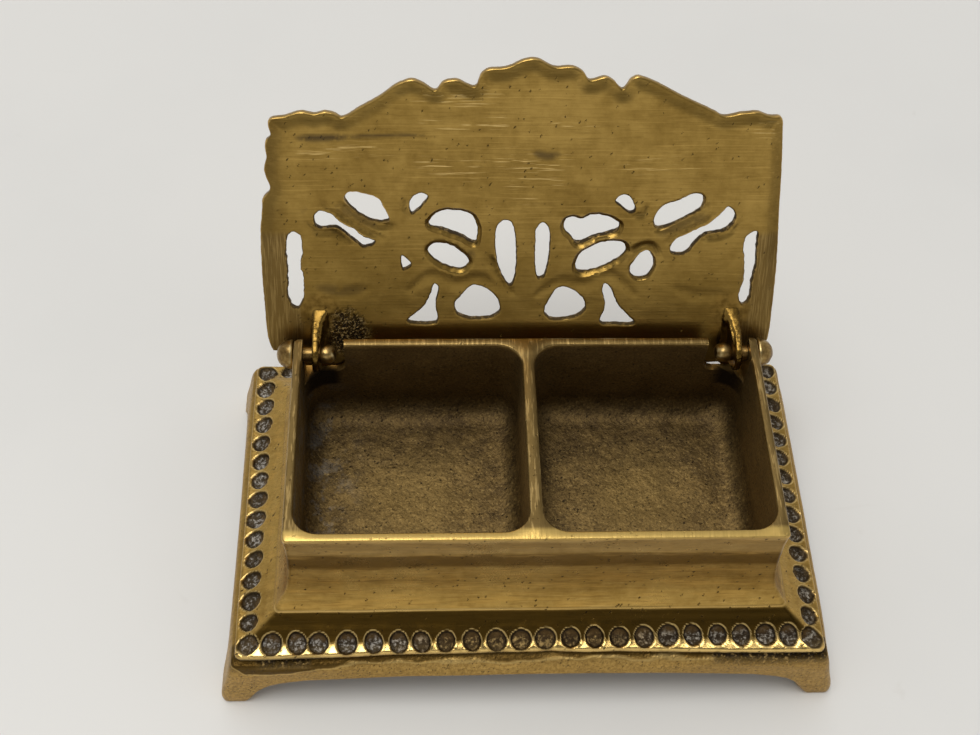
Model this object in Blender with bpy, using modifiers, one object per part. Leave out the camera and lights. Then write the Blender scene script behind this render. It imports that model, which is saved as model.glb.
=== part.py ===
"""A cast brass stamp box with two compartments and a pierced, hinged lid.

The box, its moulded ledge and its four bracket feet are one casting. The lid is a second
casting, with two lugs under its back edge. A round-headed rivet passes through each side
wall into a lug, and the lid swings on the two rivets. The lid stands open, leaning back on
its rear lip. Metres, +Z up, the front of the box towards -Y.
"""

import math

import bmesh
import bpy
from mathutils import Matrix, Vector
from mathutils.geometry import delaunay_2d_cdt

# The box and its ledge
BASE_WIDTH = 0.1000
BASE_DEPTH = 0.0612
BASE_SHIFT = 0.0008
BOX_WIDTH = 0.0793
BOX_DEPTH = 0.0390
RIM_HEIGHT = 0.0355
RIM_ROUND = 0.00035
NOSE_HEIGHT = 0.0125
FASCIA_HEIGHT = 0.0112
GROOVE_DEPTH = 0.0006
BASE_CORNER = 0.0018
BOX_CORNER = 0.0007
FOOT_ROUND = 0.0005
SIDE_SPLAY = 0.0020
FRONT_SPLAY = 0.0008

# The compartments
WALL = 0.00145
DIVIDER = 0.0021
FLOOR_HEIGHT = 0.0160
FLOOR_THICKNESS = 0.0022
POCKET_CORNER = 0.0042
FLOOR_ROUND = 0.0040

# The underside and the feet
SKIRT = 0.0024
LEDGE_THICKNESS = 0.0027
HOLLOW_CORNER = 0.0030
ARCH_CROWN = 0.0081

# The row of punched pits
PIT_LENGTH = 0.0039
PIT_WIDTH = 0.0033
PIT_DEPTH = 0.0008
PIT_FLOOR_SHARE = 0.72
PIT_INSET = 0.0034
PIT_PITCH = 0.0040
PIT_RISE_SHARE = 0.40

# The hinge
HINGE_DROP = 0.0029
HINGE_SET_IN = 0.00115
PIN_RADIUS = 0.0013
PIN_CLEARANCE = 0.0001
PIN_END_ROUND = 0.0005
PIN_PAST_LUG = 0.0030
HEAD_RADIUS = 0.0025
HEAD_HEIGHT = 0.0027
HEAD_GAP = 0.0004
NOTCH_LENGTH = 0.0070
NOTCH_DEPTH = 0.0076
NOTCH_ROUND = 0.0020
LUG_THICKNESS = 0.0012
LUG_SIDE_GAP = 0.0013
LUG_EYE = 0.0031
LUG_ROOT = 0.0063
LUG_FLARE = 0.0014

# The lid
OPEN_ANGLE = math.radians(115)
LID_WIDTH = 0.0870
LID_SHIFT = -0.0008
LID_REACH = 0.0403
LID_THICKNESS = 0.0018
LID_SEAT_GAP = 0.00025
LID_TAIL = 0.0011
LID_CURL = 0.0009
LIP_REST_GAP = 0.0003

# How far every cutter runs past what it cuts
OVERRUN = 0.0040

CORNER_STEPS = 4
ROUND_STEPS = 24
PIT_SIDES = 12
DOME_STEPS = 6
LOOP_STEPS = 2

# The mouldings from the rim down to the nose of the ledge. Each row is how far out it lies,
# as a share of the ledge's width, and how high, as a share of the rise from nose to rim.
MOULDING_SHARES = [
    (-0.015, 0.86),
    (-0.015, 0.70),
    (-0.010, 0.59),
    (0.010, 0.48),
    (0.035, 0.39),
    (0.096, 0.283),
    (0.170, 0.225),
    (0.250, 0.200),
    (0.290, 0.188),
    (0.350, 0.143),
    (0.500, 0.104),
    (0.800, 0.030),
    (0.875, 0.000),
]
BAND_SHARES = (0.500, 0.800)

# How the skirt splays towards the table: up, as a share of its height, and out, of the splay
SPLAY_SHARES = [
    (0.95, 0.00),
    (0.72, 0.20),
    (0.48, 0.50),
    (0.25, 0.85),
    (0.12, 1.00),
    (0.03, 0.97),
]

# The arch between two feet: along, as a share of half the side, and up, of the crown
ARCH_SHARES = [
    (0.946, 0.00),
    (0.937, 0.22),
    (0.918, 0.43),
    (0.886, 0.61),
    (0.830, 0.75),
    (0.740, 0.86),
    (0.420, 0.97),
    (0.000, 1.00),
]

# The lid seen from below: across, as a share of half its width, and out from the hinge, as
# a share of its reach. The scalloped crest at the front overhangs as a thumb lift.
OUTLINE_SHARES = [
    (-0.985, -0.027), (-1.00, 0.02), (-1.01, 0.25), (-1.01, 0.42), (-1.005, 0.54),
    (-0.995, 0.62), (-0.99, 0.67), (-0.965, 0.70), (-0.96, 0.72), (-0.972, 0.76),
    (-0.978, 0.80), (-0.966, 0.85), (-0.97, 0.89), (-0.964, 0.92), (-0.946, 0.94),
    (-0.953, 0.98), (-0.95, 1.003), (-0.93, 1.013), (-0.895, 1.018), (-0.83, 1.037),
    (-0.785, 1.028), (-0.74, 1.037), (-0.705, 1.027), (-0.685, 1.014), (-0.62, 1.053),
    (-0.54, 1.103), (-0.48, 1.15), (-0.425, 1.17), (-0.385, 1.155), (-0.34, 1.127),
    (-0.31, 1.16), (-0.265, 1.17), (-0.195, 1.143), (-0.175, 1.19), (-0.15, 1.212),
    (-0.08, 1.22), (-0.02, 1.25), (0.03, 1.254), (0.09, 1.223), (0.165, 1.224),
    (0.20, 1.20), (0.22, 1.171), (0.28, 1.184), (0.305, 1.173), (0.347, 1.135),
    (0.375, 1.175), (0.40, 1.187), (0.46, 1.165), (0.565, 1.108), (0.69, 1.046),
    (0.73, 1.025), (0.80, 1.038), (0.86, 1.041), (0.90, 1.026), (0.945, 1.02),
    (0.955, 0.965), (0.965, 0.86), (0.973, 0.75), (0.98, 0.62), (0.993, 0.44),
    (1.00, 0.25), (1.00, 0.10), (0.995, 0.02), (0.985, -0.027),
]

# Where the lid's underside is flat, before its edges curl up
FIELD_SHARES = [
    (-0.93, 0.01), (-0.935, 0.50), (-0.91, 0.72), (-0.905, 0.93), (-0.87, 0.965),
    (-0.66, 0.965), (-0.46, 1.08), (0.03, 1.14), (0.44, 1.08), (0.66, 0.965),
    (0.86, 0.965), (0.905, 0.92), (0.925, 0.50), (0.93, 0.01),
]

OPENING_SHARES = {
    "slot_left": [
        (-0.905, 0.50), (-0.88, 0.53), (-0.86, 0.515), (-0.85, 0.45), (-0.86, 0.38),
        (-0.85, 0.30), (-0.86, 0.21), (-0.885, 0.175), (-0.91, 0.21), (-0.91, 0.34),
    ],
    "leaf_left": [
        (-0.68, 0.675), (-0.665, 0.70), (-0.61, 0.695), (-0.56, 0.675), (-0.54, 0.64),
        (-0.52, 0.58), (-0.57, 0.575), (-0.63, 0.61),
    ],
    "dot_left": [
        (-0.435, 0.67), (-0.40, 0.70), (-0.37, 0.685), (-0.40, 0.635), (-0.43, 0.61),
    ],
    "stem_left": [
        (-0.80, 0.59), (-0.78, 0.62), (-0.74, 0.61), (-0.70, 0.57), (-0.65, 0.54),
        (-0.62, 0.51), (-0.57, 0.485), (-0.61, 0.46), (-0.65, 0.49), (-0.69, 0.53),
        (-0.72, 0.55), (-0.76, 0.545), (-0.79, 0.55),
    ],
    "petal_left_upper": [
        (-0.365, 0.56), (-0.33, 0.61), (-0.27, 0.62), (-0.21, 0.605), (-0.185, 0.565),
        (-0.18, 0.50), (-0.19, 0.475), (-0.24, 0.50), (-0.31, 0.53),
    ],
    "petal_left_lower": [
        (-0.37, 0.44), (-0.345, 0.47), (-0.29, 0.465), (-0.24, 0.43), (-0.21, 0.385),
        (-0.24, 0.355), (-0.30, 0.37), (-0.345, 0.40),
    ],
    "chip_left": [
        (-0.47, 0.42), (-0.435, 0.38), (-0.465, 0.355),
    ],
    "centre_left": [
        (-0.105, 0.55), (-0.08, 0.58), (-0.05, 0.57), (-0.032, 0.48), (-0.028, 0.38),
        (-0.035, 0.31), (-0.05, 0.28), (-0.085, 0.34), (-0.105, 0.42),
    ],
    "wedge_left": [
        (-0.45, 0.115), (-0.39, 0.18), (-0.36, 0.24), (-0.345, 0.29), (-0.33, 0.28),
        (-0.34, 0.19), (-0.335, 0.11), (-0.39, 0.10),
    ],
    "dome_left": [
        (-0.265, 0.19), (-0.24, 0.235), (-0.20, 0.28), (-0.165, 0.28), (-0.12, 0.25),
        (-0.09, 0.20), (-0.09, 0.155), (-0.12, 0.13), (-0.20, 0.125), (-0.25, 0.145),
    ],
    "centre_right": [
        (0.045, 0.50), (0.05, 0.55), (0.07, 0.57), (0.095, 0.54), (0.10, 0.46),
        (0.095, 0.38), (0.08, 0.32), (0.06, 0.315), (0.047, 0.39),
    ],
    "dome_right": [
        (0.09, 0.16), (0.11, 0.22), (0.14, 0.27), (0.18, 0.27), (0.24, 0.22),
        (0.25, 0.17), (0.22, 0.135), (0.17, 0.12), (0.11, 0.125),
    ],
    "wedge_right": [
        (0.315, 0.105), (0.33, 0.18), (0.315, 0.265), (0.325, 0.29), (0.345, 0.27),
        (0.38, 0.19), (0.45, 0.10), (0.38, 0.095),
    ],
    "petal_right_upper": [
        (0.155, 0.54), (0.16, 0.58), (0.19, 0.59), (0.215, 0.58), (0.26, 0.60),
        (0.31, 0.595), (0.365, 0.56), (0.36, 0.53), (0.28, 0.50), (0.205, 0.47),
        (0.185, 0.50),
    ],
    "petal_right_lower": [
        (0.205, 0.37), (0.22, 0.42), (0.27, 0.46), (0.33, 0.48), (0.39, 0.47),
        (0.395, 0.43), (0.34, 0.38), (0.28, 0.35), (0.22, 0.34),
    ],
    "round_right": [
        (0.42, 0.35), (0.445, 0.41), (0.475, 0.44), (0.50, 0.42), (0.51, 0.365),
        (0.485, 0.32), (0.44, 0.315),
    ],
    "dot_right": [
        (0.345, 0.665), (0.36, 0.69), (0.39, 0.69), (0.415, 0.655), (0.42, 0.62),
        (0.40, 0.615), (0.37, 0.64),
    ],
    "leaf_right": [
        (0.50, 0.57), (0.525, 0.635), (0.59, 0.665), (0.65, 0.695), (0.68, 0.68),
        (0.675, 0.63), (0.62, 0.59), (0.52, 0.54),
    ],
    "stem_right": [
        (0.57, 0.45), (0.585, 0.49), (0.625, 0.515), (0.67, 0.54), (0.71, 0.565),
        (0.745, 0.60), (0.78, 0.64), (0.81, 0.60), (0.785, 0.535), (0.74, 0.525),
        (0.70, 0.515), (0.665, 0.48), (0.63, 0.43), (0.58, 0.43),
    ],
    "slot_right": [
        (0.855, 0.47), (0.865, 0.51), (0.90, 0.53), (0.905, 0.45), (0.91, 0.38),
        (0.90, 0.29), (0.90, 0.21), (0.88, 0.185), (0.86, 0.23), (0.87, 0.31),
        (0.865, 0.40),
    ],
}

# Values worked out from those above
INNER_HALF_WIDTH = BOX_WIDTH / 2 - WALL
INNER_HALF_DEPTH = BOX_DEPTH / 2 - WALL
HINGE_HEIGHT = RIM_HEIGHT - HINGE_DROP
HINGE_Y = BOX_DEPTH / 2 - HINGE_SET_IN
LUG_OUTER = INNER_HALF_WIDTH - LUG_SIDE_GAP
LUG_INNER = LUG_OUTER - LUG_THICKNESS
PIN_INNER_END = LUG_INNER - PIN_PAST_LUG
HEAD_FACE = BOX_WIDTH / 2 + HEAD_GAP
LID_UNDERSIDE = HINGE_DROP + LID_SEAT_GAP
NOTCH_INNER = INNER_HALF_WIDTH - NOTCH_LENGTH


def clear_scene():
    for obj in list(bpy.data.objects):
        bpy.data.objects.remove(obj, do_unlink=True)


def new_collection(name):
    collection = bpy.data.collections.new(name)
    bpy.context.scene.collection.children.link(collection)
    return collection


def brass(name, colour, roughness):
    material = bpy.data.materials.new(name)
    material.use_nodes = True
    shader = material.node_tree.nodes["Principled BSDF"]
    shader.inputs["Base Color"].default_value = (*colour, 1)
    shader.inputs["Metallic"].default_value = 1
    shader.inputs["Roughness"].default_value = roughness
    return material


def new_object(name, bm, collection):
    mesh = bpy.data.meshes.new(name)
    bm.to_mesh(mesh)
    bm.free()
    obj = bpy.data.objects.new(name, mesh)
    collection.objects.link(obj)
    return obj


def as_cutter(obj):
    obj.hide_render = True
    obj.display_type = "WIRE"
    return obj


def combine(target, other, operation):
    """Adds a Boolean with the other object, which then follows the target's parent."""
    other.parent = target.parent
    modifier = target.modifiers.new(other.name, "BOOLEAN")
    modifier.operation = operation
    modifier.solver = "EXACT"
    modifier.object = other


def arc(start, end, steps):
    """Angles from start to end, both included."""
    return [start + (end - start) * i / steps for i in range(steps + 1)]


def rounded_rectangle(half_width, half_depth, corner, centre_y, height):
    """Points round a rectangle with arcs for corners, counted from the +X +Y corner."""
    points = []
    for quarter in range(4):
        turn = quarter * math.pi / 2
        side_x = 1 if quarter in (0, 3) else -1
        side_y = 1 if quarter in (0, 1) else -1
        for angle in arc(turn, turn + math.pi / 2, CORNER_STEPS):
            x = side_x * (half_width - corner) + corner * math.cos(angle)
            y = side_y * (half_depth - corner) + corner * math.sin(angle) + centre_y
            points.append(Vector((x, y, height)))
    return points


def loft(name, rings, collection):
    """A closed solid through rings of equally many points, capped at both ends."""
    bm = bmesh.new()
    loops = [[bm.verts.new(point) for point in ring] for ring in rings]
    count = len(rings[0])
    for lower, upper in zip(loops, loops[1:]):
        for i in range(count):
            j = (i + 1) % count
            bm.faces.new((lower[i], lower[j], upper[j], upper[i]))
    bm.faces.new(loops[0])
    bm.faces.new(loops[-1])
    bmesh.ops.recalc_face_normals(bm, faces=bm.faces)
    return new_object(name, bm, collection)


def prism(name, outline, move, collection):
    """A closed solid: the outline, a list of points, swept along the vector move."""
    return loft(name, [outline, [point + move for point in outline]], collection)


def splayed_ring(splay_share, height):
    """A ring round the skirt, which splays towards the feet."""
    half_width = BASE_WIDTH / 2 + SIDE_SPLAY * splay_share
    half_depth = BASE_DEPTH / 2 + FRONT_SPLAY * splay_share
    return rounded_rectangle(half_width, half_depth, BASE_CORNER, BASE_SHIFT, height)


def ledge_ring(out_share, height, corner):
    """A ring round the box at a share of the way from the rim's outline to the base's."""
    half_width = BOX_WIDTH / 2 + out_share * (BASE_WIDTH - BOX_WIDTH) / 2
    half_depth = BOX_DEPTH / 2 + out_share * (BASE_DEPTH - BOX_DEPTH) / 2
    return rounded_rectangle(half_width, half_depth, corner, out_share * BASE_SHIFT, height)


def inset_ring(ring, inset):
    """The ring with each side drawn in by the inset, by scaling about its middle."""
    middle = sum(ring, Vector()) / len(ring)
    half_width = max(point.x for point in ring) - middle.x
    half_depth = max(point.y for point in ring) - middle.y
    share_x = 1 - inset / half_width
    share_y = 1 - inset / half_depth
    return [
        Vector((middle.x + (p.x - middle.x) * share_x, middle.y + (p.y - middle.y) * share_y, p.z))
        for p in ring
    ]


def at_height(ring, height):
    return [Vector((point.x, point.y, height)) for point in ring]


def moulding_height(out_share):
    """Height of the mouldings at a share of the ledge's width."""
    rise = RIM_HEIGHT - NOSE_HEIGHT
    for (out_a, up_a), (out_b, up_b) in zip(MOULDING_SHARES, MOULDING_SHARES[1:]):
        if out_a <= out_share <= out_b:
            part = (out_share - out_a) / (out_b - out_a)
            return NOSE_HEIGHT + rise * (up_a + (up_b - up_a) * part)
    return NOSE_HEIGHT


def moulded_block(collection):
    """The outside of the casting: feet, fascia, groove, ledge, cove and rim."""
    rise = RIM_HEIGHT - NOSE_HEIGHT
    corner_of = lambda share: BOX_CORNER + max(share, 0) * (BASE_CORNER - BOX_CORNER)
    skirt = [
        splayed_ring(out_share, FASCIA_HEIGHT * up_share)
        for up_share, out_share in reversed(SPLAY_SHARES)
    ]
    fascia_round = FASCIA_HEIGHT * (1 - SPLAY_SHARES[0][0])
    nose_share = MOULDING_SHARES[-1][0]
    nose = ledge_ring(nose_share, NOSE_HEIGHT, corner_of(nose_share))
    rim = ledge_ring(0, RIM_HEIGHT - RIM_ROUND, BOX_CORNER)
    groove_height = (NOSE_HEIGHT + FASCIA_HEIGHT) / 2
    rings = [
        at_height(inset_ring(skirt[0], FOOT_ROUND), 0),
        *skirt,
        at_height(inset_ring(skirt[-1], fascia_round), FASCIA_HEIGHT),
        at_height(inset_ring(nose, GROOVE_DEPTH), groove_height),
    ]
    for out_share, up_share in reversed(MOULDING_SHARES):
        rings.append(ledge_ring(out_share, NOSE_HEIGHT + rise * up_share, corner_of(out_share)))
    rings.append(rim)
    rings.append(at_height(inset_ring(rim, RIM_ROUND), RIM_HEIGHT))
    return loft("box_body", rings, collection)


def pocket_cutter(name, centre_x, centre_y, half_width, half_depth, floor, top, cutters):
    """A pocket open at the top, with round corners and a round edge to its floor."""
    rings = []
    for angle in arc(0, math.pi / 2, CORNER_STEPS):
        inset = FLOOR_ROUND * (1 - math.sin(angle))
        height = floor + FLOOR_ROUND * (1 - math.cos(angle))
        corner = max(POCKET_CORNER - inset, POCKET_CORNER - FLOOR_ROUND)
        rings.append(
            rounded_rectangle(half_width - inset, half_depth - inset, corner, centre_y, height)
        )
    rings.append(rounded_rectangle(half_width, half_depth, POCKET_CORNER, centre_y, top))
    for ring in rings:
        for point in ring:
            point.x += centre_x
    return as_cutter(loft(name, rings, cutters))


def cut_compartments(body, cutters):
    inner_edge = DIVIDER / 2
    half_width = (INNER_HALF_WIDTH - inner_edge) / 2
    centre = (INNER_HALF_WIDTH + inner_edge) / 2
    for side, word in ((-1, "left"), (1, "right")):
        cutter = pocket_cutter(
            f"compartment_{word}", side * centre, 0, half_width, INNER_HALF_DEPTH,
            FLOOR_HEIGHT, RIM_HEIGHT + OVERRUN, cutters,
        )
        combine(body, cutter, "DIFFERENCE")


def cut_underside(body, cutters):
    """The hollow under the ledge, and the deeper one under the compartments."""
    ledge_top = moulding_height(BAND_SHARES[1])
    hollows = (
        ("hollow_ledge", BASE_WIDTH / 2 - SKIRT, BASE_DEPTH / 2 - SKIRT, BASE_SHIFT,
         ledge_top - LEDGE_THICKNESS),
        ("hollow_box", INNER_HALF_WIDTH, INNER_HALF_DEPTH, 0, FLOOR_HEIGHT - FLOOR_THICKNESS),
    )
    for name, half_width, half_depth, centre_y, top in hollows:
        rings = [
            rounded_rectangle(half_width, half_depth, HOLLOW_CORNER, centre_y, height)
            for height in (-OVERRUN, top)
        ]
        combine(body, as_cutter(loft(name, rings, cutters)), "DIFFERENCE")


def cut_arches(body, cutters):
    """The low arch between each two feet, cut right through from front to back and across."""
    for name, half_span, along, across in (
        ("arch_front", BASE_WIDTH / 2, Vector((1, 0, 0)), Vector((0, 1, 0))),
        ("arch_side", BASE_DEPTH / 2, Vector((0, 1, 0)), Vector((1, 0, 0))),
    ):
        foot = BASE_WIDTH / 2 * (1 - ARCH_SHARES[0][0])
        crown = [
            (half_span - BASE_WIDTH / 2 * (1 - out) if out else 0, up * ARCH_CROWN)
            for out, up in ARCH_SHARES
        ]
        if half_span - foot < crown[1][0]:
            crown = [point for point in crown if point[0] >= 0]
        half = [(half_span - foot, -OVERRUN)] + [point for point in crown if point[0] >= 0]
        outline = half + [(-x, z) for x, z in reversed(half) if x > 0]
        reach = across * (BASE_WIDTH + OVERRUN)
        middle = Vector((0, BASE_SHIFT, 0))
        points = [middle + along * x + Vector((0, 0, z)) - reach / 2 for x, z in outline]
        combine(body, as_cutter(prism(name, points, reach, cutters)), "DIFFERENCE")


def pit_places():
    """Each pit's place round the ledge and the direction it faces outwards, on plan."""
    half_width = BASE_WIDTH / 2 - PIT_INSET
    half_depth = BASE_DEPTH / 2 - PIT_INSET
    along_front = round(2 * half_width / PIT_PITCH)
    along_side = round(2 * half_depth / PIT_PITCH)
    places = []
    for side in (-1, 1):
        for i in range(1, along_front):
            x = half_width * (2 * i / along_front - 1)
            places.append((x, side * half_depth, Vector((0, side, 0))))
        for i in range(1, along_side):
            y = half_depth * (2 * i / along_side - 1)
            places.append((side * half_width, y, Vector((side, 0, 0))))
        for other in (-1, 1):
            outward = Vector((side, other, 0)).normalized()
            places.append((side * half_width, other * half_depth, outward))
    return places


def cut_pits(body, cutters):
    """The oval punch marks along the band of the ledge, as one cutter of separate cones."""
    bm = bmesh.new()
    for x, y, outward in pit_places():
        if abs(outward.y) > abs(outward.x):
            ledge = (BASE_DEPTH - BOX_DEPTH) / 2 + math.copysign(BASE_SHIFT, outward.y)
        else:
            ledge = (BASE_WIDTH - BOX_WIDTH) / 2
        place = 1 - PIT_INSET / ledge
        low, high = moulding_height(BAND_SHARES[1]), moulding_height(BAND_SHARES[0])
        fall = math.atan2(high - low, ledge * (BAND_SHARES[1] - BAND_SHARES[0]))
        downhill = outward * math.cos(fall) - Vector((0, 0, math.sin(fall)))
        along = Vector((-outward.y, outward.x, 0))
        normal = along.cross(downhill)
        normal = normal if normal.z > 0 else -normal
        surface = Vector((x, y + BASE_SHIFT, moulding_height(place)))
        flare = 1 + PIT_RISE_SHARE
        middle = surface + normal * PIT_DEPTH * (PIT_RISE_SHARE - 1) / 2
        turned = Matrix((along, downhill, normal)).transposed().to_4x4()
        scale = Matrix.Diagonal((PIT_WIDTH / 2, PIT_LENGTH / 2, PIT_DEPTH * flare, 1))
        bmesh.ops.create_cone(
            bm, cap_ends=True, segments=PIT_SIDES, depth=1,
            radius1=PIT_FLOOR_SHARE, radius2=PIT_FLOOR_SHARE + (1 - PIT_FLOOR_SHARE) * flare,
            matrix=Matrix.Translation(middle) @ turned @ scale,
        )
    bmesh.ops.recalc_face_normals(bm, faces=bm.faces)
    combine(body, as_cutter(new_object("pits", bm, cutters)), "DIFFERENCE")


def cut_hinge_seat(body, cutters):
    """A notch at each end of the back wall for a lug, and a bore through each side wall."""
    front = INNER_HALF_DEPTH - POCKET_CORNER
    through = Vector((0, BOX_DEPTH / 2 + OVERRUN - front, 0))
    sill = RIM_HEIGHT - NOTCH_DEPTH
    outline = [(INNER_HALF_WIDTH, sill), (INNER_HALF_WIDTH, RIM_HEIGHT + OVERRUN)]
    outline.append((NOTCH_INNER, RIM_HEIGHT + OVERRUN))
    for angle in arc(0, math.pi / 2, CORNER_STEPS):
        x = NOTCH_INNER + NOTCH_ROUND * (1 - math.cos(angle))
        outline.append((x, sill + NOTCH_ROUND * (1 - math.sin(angle))))
    for side, word in ((-1, "left"), (1, "right")):
        points = [Vector((side * x, front, z)) for x, z in outline]
        notch = as_cutter(prism(f"notch_{word}", points, through, cutters))
        combine(body, notch, "DIFFERENCE")
        bore = round_bar(
            f"bore_{word}", PIN_RADIUS + PIN_CLEARANCE,
            side * (INNER_HALF_WIDTH - LUG_SIDE_GAP / 2), side * (BOX_WIDTH / 2 + OVERRUN), cutters,
        )
        bore.location = (0, HINGE_Y, HINGE_HEIGHT)
        combine(body, as_cutter(bore), "DIFFERENCE")


def round_bar(name, radius, start_x, end_x, collection):
    """A cylinder along X, whose flats clear the radius."""
    outer = radius / math.cos(math.pi / ROUND_STEPS)
    outline = [
        Vector((start_x, outer * math.cos(angle), outer * math.sin(angle)))
        for angle in arc(0, 2 * math.pi, ROUND_STEPS)[:-1]
    ]
    return prism(name, outline, Vector((end_x - start_x, 0, 0)), collection)


def box_body(parts, cutters, root):
    body = moulded_block(parts)
    body.parent = root
    cut_compartments(body, cutters)
    cut_underside(body, cutters)
    cut_arches(body, cutters)
    cut_hinge_seat(body, cutters)
    cut_pits(body, cutters)
    return body


def rivet(name, side, parts, root):
    """A round-headed rivet, turned as one profile: dome, head face, shank and dressed end."""
    length = HEAD_FACE - PIN_INNER_END
    profile = [(0, HEAD_HEIGHT)]
    for angle in arc(0, math.pi / 2, DOME_STEPS)[1:]:
        profile.append((HEAD_RADIUS * math.sin(angle), HEAD_HEIGHT * math.cos(angle)))
    profile.append((PIN_RADIUS, 0))
    for angle in arc(0, math.pi / 2, CORNER_STEPS):
        radius = PIN_RADIUS - PIN_END_ROUND * (1 - math.cos(angle))
        profile.append((radius, PIN_END_ROUND * (1 - math.sin(angle)) - length))
    profile.append((0, -length))
    bm = bmesh.new()
    points = [bm.verts.new((x, 0, z)) for x, z in profile]
    for a, b in zip(points, points[1:]):
        bm.edges.new((a, b))
    pin = new_object(name, bm, parts)
    screw = pin.modifiers.new("turn", "SCREW")
    screw.steps = ROUND_STEPS
    screw.render_steps = ROUND_STEPS
    screw.use_merge_vertices = True
    screw.merge_threshold = 1e-6
    screw.use_smooth_shade = True
    pin.parent = root
    pin.location = (side * HEAD_FACE, HINGE_Y, HINGE_HEIGHT)
    pin.rotation_euler.y = side * math.pi / 2
    return pin


def smooth_run(points, closed):
    """A centripetal Catmull-Rom curve through the points, which doesn't swing wide."""
    count = len(points)
    spans = count if closed else count - 1
    run = []
    for i in range(spans):
        around = []
        for k in (i - 1, i, i + 1, i + 2):
            around.append(points[k % count] if closed else points[min(max(k, 0), count - 1)])
        a, b, c, d = around
        knots = [0]
        for start, end in zip(around, around[1:]):
            knots.append(knots[-1] + math.sqrt(max((end - start).length, 1e-9)))
        for step in range(LOOP_STEPS):
            t = knots[1] + (knots[2] - knots[1]) * step / LOOP_STEPS

            def between(p, q, low, high):
                return p + (q - p) * ((t - knots[low]) / (knots[high] - knots[low]))

            first, second, third = (
                between(a, b, 0, 1), between(b, c, 1, 2), between(c, d, 2, 3),
            )
            left, right = between(first, second, 0, 2), between(second, third, 1, 3)
            run.append(between(left, right, 1, 2))
    if not closed:
        run.append(points[-1])
    return run


def lid_point(across, out):
    return Vector((across * LID_WIDTH / 2 + LID_SHIFT, out * LID_REACH))


def lip_reach():
    """How far behind the hinge the lid ends, so that it leans on the back wall when open."""
    behind = HINGE_SET_IN + LIP_REST_GAP
    return (LID_UNDERSIDE * math.sin(OPEN_ANGLE) - behind) / -math.cos(OPEN_ANGLE)


def lid_outline():
    """The scalloped edge, then the rear lip, which runs from side wall to side wall."""
    edge = smooth_run([lid_point(*shares) for shares in OUTLINE_SHARES], closed=False)
    lip_half = INNER_HALF_WIDTH
    lip = [
        Vector((lip_half + LUG_SIDE_GAP, -LID_TAIL)),
        Vector((lip_half, -lip_reach())),
        Vector((-lip_half, -lip_reach())),
        Vector((-lip_half - LUG_SIDE_GAP, -LID_TAIL)),
    ]
    return edge, lip


def inside(point, loop):
    """Whether the point lies inside the loop, by counting crossings."""
    odd = False
    for a, b in zip(loop, loop[1:] + loop[:1]):
        if (a.y > point.y) != (b.y > point.y):
            cross = a.x + (point.y - a.y) * (b.x - a.x) / (b.y - a.y)
            odd = odd != (point.x < cross)
    return odd


def lid_sheet(parts):
    """The lid's underside as an open sheet, pierced and with its edges curled up."""
    edge, lip = lid_outline()
    field = [lid_point(*shares) for shares in FIELD_SHARES]
    openings = [
        smooth_run([lid_point(*pair) for pair in shares], closed=True)
        for shares in OPENING_SHARES.values()
    ]
    points, edges = [], []
    for loop in (edge + lip, field, *openings):
        first = len(points)
        points += loop
        edges += [(first + i, first + (i + 1) % len(loop)) for i in range(len(loop))]
    verts, _, faces, sources, _, _ = delaunay_2d_cdt(points, edges, [], 1, 1e-7)
    bm = bmesh.new()
    made = []
    for place, source in zip(verts, sources):
        curled = any(i < len(edge) for i in source) and place.y > LUG_ROOT / 2
        lift = LID_CURL if curled else 0
        made.append(bm.verts.new((place.x, -place.y, LID_UNDERSIDE + lift)))
    for face in faces:
        middle = sum((verts[i] for i in face), Vector((0, 0))) / len(face)
        if not any(inside(middle, loop) for loop in openings):
            bm.faces.new([made[i] for i in face])
    for face in bm.faces:
        face.normal_update()
        if face.normal.z < 0:
            face.normal_flip()
    loose = [v for v in bm.verts if not v.link_faces]
    bmesh.ops.delete(bm, geom=loose, context="VERTS")
    return new_object("lid", bm, parts)


def tangent(point, radius, side):
    """Where the line from the point touches the circle round the hinge axis."""
    reach = point.length
    turn = side * math.acos(radius / reach)
    return math.atan2(point.y, point.x) + turn


def lug(name, side, cutters):
    """A rib under the lid with an eye for the rivet, thicker towards its root."""
    root_front = Vector((LUG_ROOT, LID_UNDERSIDE))
    root_back = Vector((-LID_TAIL, LID_UNDERSIDE))
    top = LID_UNDERSIDE + LID_THICKNESS / 2
    start = tangent(root_front, LUG_EYE, -1)
    end = tangent(root_back, LUG_EYE, 1) if root_back.length > LUG_EYE else math.pi * 3 / 4
    eye = arc(start, end - 2 * math.pi, ROUND_STEPS // 2)
    outline = [Vector((LUG_ROOT, top)), root_front]
    outline += [Vector((LUG_EYE * math.cos(t), LUG_EYE * math.sin(t))) for t in eye]
    outline += [root_back, Vector((-LID_TAIL, top))]
    outer = [Vector((side * LUG_OUTER, -p.x, p.y)) for p in outline]
    inner = []
    for p in outline:
        share = min(max(p.y / LID_UNDERSIDE, 0), 1)
        inner.append(Vector((side * (LUG_INNER - LUG_FLARE * share ** 2), -p.x, p.y)))
    return as_cutter(loft(name, [outer, inner], cutters))


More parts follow.
